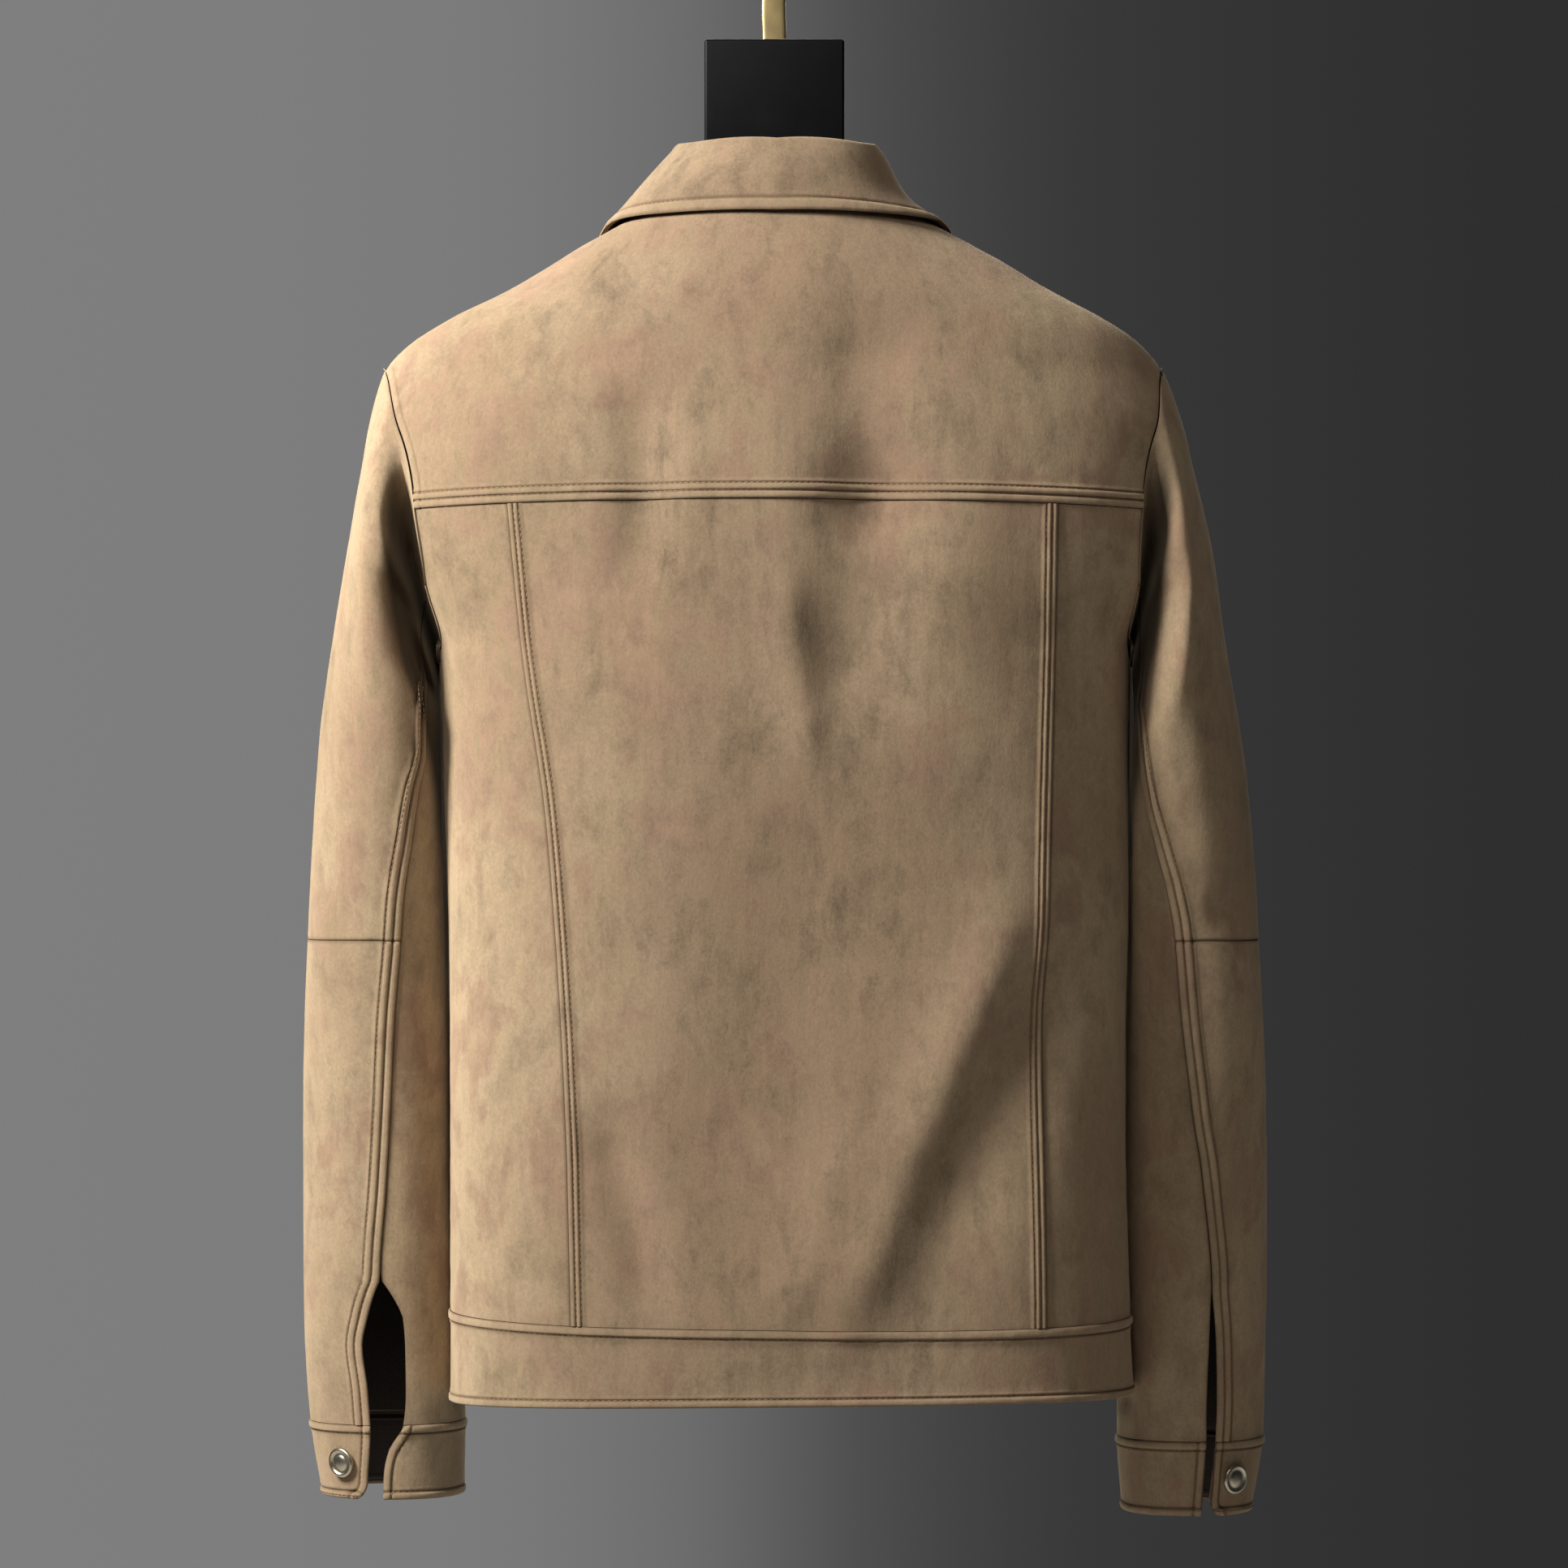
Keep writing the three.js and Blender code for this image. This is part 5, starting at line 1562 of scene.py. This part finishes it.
@dataclass
class Collar(Garment):
    """The collar, its stand, roll and fall in one piece."""

    form: CollarForm = field(default_factory=CollarForm)

    def build(self) -> None:
        """Builds the collar."""
        stand, roll, fall = np.linspace(0, 0.32, 14), np.linspace(0.34, 0.66, 22), np.linspace(0.675, 1, 44)
        rows = np.concatenate([stand, roll, fall])
        side = np.concatenate([np.linspace(0, 0.9, 46), np.linspace(0.91, 1, 22)])
        along = np.concatenate([-side[:0:-1], side])
        columns = np.broadcast_to(along[None, :], (len(rows), len(along))).copy()
        seams = (
            Seam(Edge.TOP, COLLAR_GROOVE, 0.0, 0.7),
            Seam(Edge.START, COLLAR_GROOVE, 0.0, 0.7),
            Seam(Edge.END, COLLAR_GROOVE, 0.0, 0.7),
        )
        self.make(
            Cloth(
                "collar",
                surface=self.form.point,
                normal=self.form.normal,
                rows=rows,
                columns=columns,
                seams=seams,
                cut=(0.6, 0.12),
                area=0.052,
                facing=-1,
                thickness=COLLAR_CLOTH,
                ripple=0.5,
            )
        )


@dataclass
class Sleeve(Garment):
    """One sleeve: an upper panel, a forearm panel below the elbow seam, an under panel and a tabbed cuff."""

    which: str = "left"
    form: SleeveForm = SLEEVES["left"]
    row_step: float = 5.0
    column_step: float = 4.8
    lap_begins: float = 98.0
    elbow_pinch: float = 0.9

    def build(self) -> None:
        """Builds the four pieces."""
        upper = stops([0, 3.5, 6.5], np.arange(10, ELBOW_DROP - 3, self.row_step), ELBOW_DROP - PLAIN)
        forearm = np.arange(ELBOW_DROP + 5, self.form.cuff_top - 3, self.row_step)
        lower = stops(ELBOW_DROP + PLAIN, forearm, self.form.cuff_top - PLAIN)
        lap = beside(SLEEVE_GROOVES, 12.5)
        front = level_at(FRONT_SEAM_ANGLE - 360)
        form = {
            "surface": self.form.point,
            "normal": self.form.normal,
            "facing": self.form.side,
            # The sleeves' painted shade in the hollows beside the body
            "shade": self.form.shade,
        }
        back = Seam(Edge.END, SLEEVE_GROOVES, 1.0, begins=self.lap_begins)
        lower_back = Seam(Edge.END, SLEEVE_GROOVES, 1.0)
        pinch = self.elbow_pinch
        columns = spread(upper, self.form.base, front, self.form.tab_edge, PLAIN, lap, self.column_step)
        seams = (back, Seam(Edge.START), Seam(Edge.TOP, (), 0, pinch), Seam(Edge.BOTTOM, (), 0, 0.15))
        name = f"sleeve_upper_{self.which}"
        self.make(Cloth(name, rows=upper, columns=columns, seams=seams, cut=(0.27, 0.31), area=0.062, **form))
        columns = spread(lower, self.form.base, front, self.form.tab_edge, PLAIN, lap, self.column_step)
        seams = (lower_back, Seam(Edge.START), Seam(Edge.BOTTOM, (), 0, pinch))
        name = f"sleeve_forearm_{self.which}"
        self.make(Cloth(name, rows=lower, columns=columns, seams=seams, cut=(0.2, 0.27), area=0.046, **form))
        rows = stops(upper, lower)
        slit = beside(SLIT_GROOVE, 8)
        front = level_at(FRONT_SEAM_ANGLE)
        columns = spread(rows, self.form.base, self.form.under_edge, front, slit, PLAIN, self.column_step)
        name = f"sleeve_under_{self.which}"
        seams = (Seam(Edge.START), Seam(Edge.END))
        self.make(Cloth(name, rows=rows, columns=columns, seams=seams, cut=(0.15, 0.46), area=0.052, **form))
        self.build_cuff(form)

    def tab_corner(self, drop: Array) -> Array:
        """The cuff's end at the tab, rounded at its lower corner."""
        past = np.clip((drop - (self.form.cuff_end - 10)) / 10, 0, 1)
        return 360 + self.form.slit.at("tab", drop) - 12 * (1 - np.sqrt(1 - past**2))

    def build_cuff(self, form: dict[str, Any]) -> None:
        """Builds the cuff round the wrist, from the slit's inner edge to the end of the tab."""
        top, end = self.form.cuff_top, self.form.cuff_end
        corner = end - 10 * (1 - np.sin(np.linspace(0, math.pi / 2, 9)))
        plain = np.arange(top + 9, end - 11, 4)
        rows = stops(top + beside(CUFF_GROOVE, 7.5), plain, end - beside(HEM_GROOVE, 7), corner)
        ends = beside(CUFF_GROOVE, 8)
        columns = spread(rows, self.form.base, self.form.cuff_start, self.tab_corner, ends, ends, 4.4)
        seams = (
            Seam(Edge.BOTTOM, CUFF_GROOVE, 0.6),
            Seam(Edge.TOP, HEM_GROOVE, 0.3),
            Seam(Edge.START, CUFF_GROOVE, 0.0),
            Seam(Edge.END, CUFF_GROOVE, 0.2),
        )
        name = f"cuff_{self.which}"
        self.make(Cloth(name, rows=rows, columns=columns, seams=seams, cut=(0.25, 0.041), ripple=0.5, **form))

    def button(self) -> tuple[str, Array, Array]:
        """The name, place and way out of the cuff's button."""
        drop = np.array((self.form.cuff_top + self.form.cuff_end) / 2)
        angle = np.array(self.form.button_angle)
        return f"cuff_button_{self.which}", self.form.point(drop, angle), self.form.normal(drop, angle)


@dataclass
class Button:
    """A satin metal jeans button: a rolled rim, a sunk ring and a low dome."""

    finishes: Finishes
    steps: int = 40
    profile: tuple[tuple[float, float], ...] = (
        (0.0, 0.0),
        (0.8, 0.0),
        (0.92, 0.12),
        (0.985, 0.33),
        (1.0, 0.56),
        (0.975, 0.79),
        (0.91, 0.94),
        (0.83, 0.955),
        (0.765, 0.87),
        (0.715, 0.72),
        (0.665, 0.66),
        (0.56, 0.66),
        (0.51, 0.71),
        (0.455, 0.825),
        (0.35, 0.925),
        (0.19, 0.985),
        (0.0, 1.0),
    )

    def build(self, name: str, place: Array, out: Array) -> None:
        """Spins the button's profile and sets it on the cloth.

        Args:
            name: The solid that it replaces.
            place: The cloth's point under its middle.
            out: The way out of the cloth there.
        """
        bm = bmesh.new()
        verts = [bm.verts.new((reach * BUTTON_RADIUS, 0, rise * BUTTON_HEIGHT)) for reach, rise in self.profile]
        edges = [bm.edges.new(pair) for pair in zip(verts, verts[1:])]
        bmesh.ops.spin(
            bm,
            geom=verts + edges,
            cent=(0, 0, 0),
            axis=(0, 0, 1),
            angle=math.tau,
            steps=self.steps,
            use_merge=True,
            use_duplicate=False,
        )
        bmesh.ops.remove_doubles(bm, verts=bm.verts, dist=1e-4)
        bmesh.ops.recalc_face_normals(bm, faces=bm.faces)
        turn = Vector((0, 0, 1)).rotation_difference(Vector(out)).to_matrix().to_4x4()
        seat = Vector(place) + Vector(out) * BUTTON_SEAT
        move = Matrix.Scale(MM, 4) @ Matrix.Translation(seat) @ turn
        bmesh.ops.transform(bm, matrix=move, verts=bm.verts)
        obj = object_of(name + "_metal", bm)
        put_on(obj, self.finishes.button, [name])
        LOG.info("%s: %d faces", name, len(obj.data.polygons))


@dataclass
class Hanger:
    """The hanger: a flat head plate, a brass hook and arms under the shoulders."""

    finishes: Finishes
    middle: float = -1.2
    bar_width: float = 13.0
    bar_thickness: float = 5.0
    inner_radius: float = 16.0
    plate_top: float = 740.0
    plate_rounding: float = 1.6
    cloth_gap: float = 4.8

    def build(self) -> None:
        """Builds the plate, the hook and the arms."""
        self.build_plate()
        self.build_hook()
        self.build_arms()

    def build_plate(self) -> None:
        """A block with softly rounded edges, in the plate's own box."""
        low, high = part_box("hanger_plate")
        bm = bmesh.new()
        bmesh.ops.create_cube(bm, size=1)
        bmesh.ops.scale(bm, verts=bm.verts, vec=high - low)
        bmesh.ops.translate(bm, verts=bm.verts, vec=(low + high) / 2)
        bmesh.ops.bevel(
            bm,
            geom=bm.edges,
            offset=self.plate_rounding * MM,
            affect="EDGES",
            segments=4,
            profile=0.5,
            material=-1,
            clamp_overlap=True,
        )
        obj = object_of("hanger_plate_black", bm)
        put_on(obj, self.finishes.black, ["hanger_plate"])

    def hook_path(self) -> Array:
        """The middle line of the hook's bar, in X and Z."""
        radius = self.inner_radius + self.bar_width / 2
        foot = self.plate_top + SEAM_GAP - HOOK_TO_HEM
        turns = np.radians(np.linspace(0, 200, 9))
        ring = np.c_[radius * np.cos(turns), -self.inner_radius + radius * np.sin(turns)]
        stem = [(self.middle, foot), (self.middle, foot + 24), (5, foot + 33), (17, foot + 45)]
        knots = np.array(stem + [tuple(p) for p in ring])
        first, last = 2 * knots[0] - knots[1], 2 * knots[-1] - knots[-2]
        knots = np.vstack([first, knots, last])
        line = []
        for i in range(1, len(knots) - 2):
            p0, p1, p2, p3 = knots[i - 1 : i + 3]
            for t in np.linspace(0, 1, 10, endpoint=False):
                line.append(
                    0.5
                    * (
                        2 * p1
                        + (p2 - p0) * t
                        + (2 * p0 - 5 * p1 + 4 * p2 - p3) * t**2
                        + (3 * p1 - p0 - 3 * p2 + p3) * t**3
                    )
                )
        return np.array(line + [knots[-2]])

    def build_hook(self) -> None:
        """A flat bar with rounded edges, drawn along the hook's line."""
        path = self.hook_path()
        along = unit(np.gradient(path, axis=0))
        aside = np.c_[along[:, 1], -along[:, 0]]
        turns = np.radians(np.linspace(0, 360, 25))
        across = np.sign(np.cos(turns)) * np.abs(np.cos(turns)) ** 0.35 * self.bar_width / 2
        through = np.sign(np.sin(turns)) * np.abs(np.sin(turns)) ** 0.35 * self.bar_thickness / 2
        plan = path[:, None, :] + aside[:, None, :] * across[None, :, None]
        depth = np.broadcast_to(through, plan.shape[:2])
        points = np.stack([plan[..., 0], depth, plan[..., 1]], axis=-1)
        obj = tube_object("hanger_hook_brass", points)
        put_on(obj, self.finishes.brass, ["hanger_hook"])

    def build_arms(self) -> None:
        """The arms, a smooth bar through a table of sections, kept under the cloth of the shoulders."""
        table = Table(
            ("out", "top", "height", "half_depth"),
            (
                (0, 649.7, 16, 9),
                (46, 649.7, 16, 9),
                (72, 642, 17, 10),
                (100, 629, 17, 12),
                (130, 613, 17, 15),
                (158, 597, 17, 17),
                (176, 580, 16, 18),
            ),
        )
        reach = 176.0
        taper = np.array([1.5, 3.2, 4.0])
        x = np.concatenate([-reach - taper[::-1], np.linspace(-reach, reach, 120), reach + taper])
        out = np.minimum(np.abs(x), reach)
        past = np.clip((np.abs(x) - reach) / 4.0, 0, 1)
        shrink = np.sqrt(1 - 0.72 * past**2)[:, None]
        turns = np.radians(np.linspace(0, 360, 33))[None, :]
        half = table.at("height", out)[:, None] / 2
        y = shrink * table.at("half_depth", out)[:, None] * np.cos(turns)
        across = np.broadcast_to(x[:, None], y.shape)
        crest = np.minimum(table.at("top", out)[:, None], shoulder_height(across, 0 * y) - self.cloth_gap)
        round_top = crest - half - 3 * past[:, None] + shrink * half * np.sin(turns)
        height = np.minimum(round_top, shoulder_height(across, y) - self.cloth_gap)
        points = np.stack([across, y, height - HOOK_TO_HEM], axis=-1)
        obj = tube_object("hanger_arms_black", points)
        put_on(obj, self.finishes.black, ["hanger_arms"])


def shoulder_height(x: Array, y: Array) -> Array:
    """The height of the shoulders' surface over points of the plan, or far up over the neck."""

    def outside(side: Array) -> Array:
        """Above zero where a point lies outside a ring."""
        depth = np.where(y < 0, RINGS.at("back", side), RINGS.at("front", side))
        power = RINGS.at("power", side)
        across = np.abs((x - RINGS.at("middle", side)) / RINGS.at("half", side))
        return across**power + np.abs(y / depth) ** power - 1

    low = np.full(x.shape, YOKE_SEAM)
    high = np.full(x.shape, NECK)
    for _ in range(30):
        middle = (low + high) / 2
        inside = outside(middle) < 0
        low, high = np.where(inside, middle, low), np.where(inside, high, middle)
    depth = np.where(y < 0, RINGS.at("back", low), RINGS.at("front", low))
    end = np.where(y < 0, RINGS.at("back_height", low), RINGS.at("front_height", low))
    height = low + (end - low) * np.minimum(1, np.abs(y) / depth) ** (0.75 * RINGS.at("power", low))
    return np.where(outside(np.full(x.shape, NECK)) < 0, 1e6, height)


def tube_object(name: str, points: Array) -> bpy.types.Object:
    """A closed tube through rings of points, the first and last ring capped.

    Args:
        name: The piece's name.
        points: Rings of points in millimetres, each ending where it starts.

    Returns:
        The new object.
    """
    rings, count = points.shape[:2]
    bm = bmesh.new()
    bmesh.ops.create_grid(bm, x_segments=count - 1, y_segments=rings - 1, size=1)
    for vert in bm.verts:
        i = round((vert.co.x + 1) / 2 * (count - 1)) % (count - 1)
        j = round((vert.co.y + 1) / 2 * (rings - 1))
        vert.co = Vector(points[j, i]) * MM
    bmesh.ops.remove_doubles(bm, verts=bm.verts, dist=1e-7)
    bmesh.ops.holes_fill(bm, edges=[edge for edge in bm.edges if edge.is_boundary], sides=0)
    bmesh.ops.recalc_face_normals(bm, faces=bm.faces)
    obj = object_of(name, bm)
    obj.data.set_sharp_from_angle(angle=math.radians(50))
    return obj


@dataclass(frozen=True)
class Lamp:
    """A square area light: its place and aim, its side in metres, and its strength in watts."""

    name: str
    place: tuple[float, float, float]
    aim: tuple[float, float, float]
    size: float
    power: float
    colour: tuple[float, float, float]

    def add(self) -> None:
        """Adds the light to the scene."""
        light = bpy.data.lights.new(self.name, "AREA")
        light.size = self.size
        light.energy = self.power
        light.color = self.colour
        holder = bpy.data.objects.new(self.name, light)
        holder.location = self.place
        holder.rotation_euler = (Vector(self.aim) - Vector(self.place)).to_track_quat("-Z", "Y").to_euler()
        bpy.context.scene.collection.objects.link(holder)


LAMPS = (
    Lamp("key", (-1.25, -0.8, 0.5), (-0.1, 0.0, -0.3), 0.55, 62, (1.0, 1.0, 0.99)),
    Lamp("fill", (-0.3, -1.6, 0.8), (0.03, 0.0, -0.3), 0.8, 6.2, (1.0, 0.98, 0.94)),
    Lamp("front", (0.1, 3.0, 0.5), (0.0, 0.0, -0.4), 1.6, 60, (1.0, 0.98, 0.95)),
)


@dataclass(frozen=True)
class Studio:
    """The camera, a pale floor well below the jacket, a backdrop far behind it that glows with painted light,
    lighter on the left, and the lights.
    """

    camera_place: tuple[float, float, float] = (0.004, -4.0, 0.3356 - 0.816)
    lens: float = 169.0
    sensor: float = 36.0
    sight: float = 50.0
    floor_height: float = -1.55
    floor_size: float = 2.6
    backdrop_place: float = 14.0
    backdrop_size: float = 2.3
    backdrop_spread: float = 0.105
    backdrop_painted_light: tuple[tuple[float, int], ...] = (
        (0.0, 127),
        (0.3, 125),
        (0.44, 110),
        (0.55, 74),
        (0.7, 54),
        (1.0, 45),
    )
    surround: Colour = tone(42, 42, 43)

    def build(self) -> None:
        """Sets up the studio."""
        self.add_camera()
        self.add_floor()
        self.add_backdrop()
        self.add_lights()

    def add_camera(self) -> None:
        """The camera, level and square to the jacket's back."""
        camera = bpy.data.cameras.new("camera")
        camera.lens = self.lens
        camera.sensor_width = self.sensor
        camera.clip_end = self.sight
        holder = bpy.data.objects.new("camera", camera)
        holder.location = self.camera_place
        holder.rotation_euler = (math.pi / 2, 0, 0)
        bpy.context.scene.collection.objects.link(holder)
        bpy.context.scene.camera = holder

    def add_floor(self) -> None:
        """A plain pale floor."""
        bm = bmesh.new()
        bmesh.ops.create_grid(bm, x_segments=8, y_segments=8, size=self.floor_size)
        bmesh.ops.translate(bm, verts=bm.verts, vec=(0, 0, self.floor_height))
        floor = object_of("floor", bm)
        n = Nodes("floor_pale")
        cloud = n.noise(3, 3)
        colour = n.mix(cloud, tone(196, 195, 192), tone(206, 205, 203))
        floor.data.materials.append(n.surface({"Base Color": colour, "Roughness": 0.8}))

    def add_backdrop(self) -> None:
        """A plain wall far behind that glows, with a painted fall of light that makes it lighter on the left.
        """
        bm = bmesh.new()
        bmesh.ops.create_grid(bm, x_segments=4, y_segments=4, size=self.backdrop_size)
        bmesh.ops.rotate(bm, verts=bm.verts, cent=(0, 0, 0), matrix=Matrix.Rotation(math.pi / 2, 3, "X"))
        bmesh.ops.translate(bm, verts=bm.verts, vec=(0, self.backdrop_place, self.camera_place[2]))
        wall = object_of("backdrop", bm)
        n = Nodes("backdrop_glow_painted_light")
        across = n.add("ShaderNodeSeparateXYZ", {}, {"Vector": n.place}, "X")
        edge = self.backdrop_spread * (self.backdrop_place - self.camera_place[1])
        place = n.add("ShaderNodeMapRange", {}, {"Value": across, "From Min": -edge, "From Max": edge})
        # Painted light: the glow runs from light grey on the left to dark grey on the right
        grey = n.ramp(place, self.backdrop_painted_light)
        black = tone(0, 0, 0)
        inputs = {"Base Color": black, "Roughness": 1.0, "Emission Color": grey, "Emission Strength": 1.0}
        wall.data.materials.append(n.surface({**inputs, "Specular IOR Level": 0.0}))

    def add_lights(self) -> None:
        """A key from the left, a weak fill, a soft light on the hidden front, and a dim surround."""
        for lamp in LAMPS:
            lamp.add()
        world = bpy.data.worlds.new("surround")
        world.use_nodes = True
        world.node_tree.nodes["Background"].inputs["Color"].default_value = self.surround
        bpy.context.scene.world = world
        bpy.context.scene.view_settings.view_transform = "Standard"


def main() -> None:
    """Builds the jacket on its hanger, and the studio round it."""
    logging.basicConfig(level=logging.INFO, format="%(name)s: %(message)s")
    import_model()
    Studio().build()
    finishes = Finishes()
    Back(finishes).build()
    front = Front(finishes)
    front.build()
    HemBand(finishes).build()
    Collar(finishes).build()
    button = Button(finishes)
    for place in front.buttons():
        button.build(*place)
    for which, form in SLEEVES.items():
        sleeve = Sleeve(finishes, which, form)
        sleeve.build()
        button.build(*sleeve.button())
    Hanger(finishes).build()


if __name__ == "__main__":
    main()
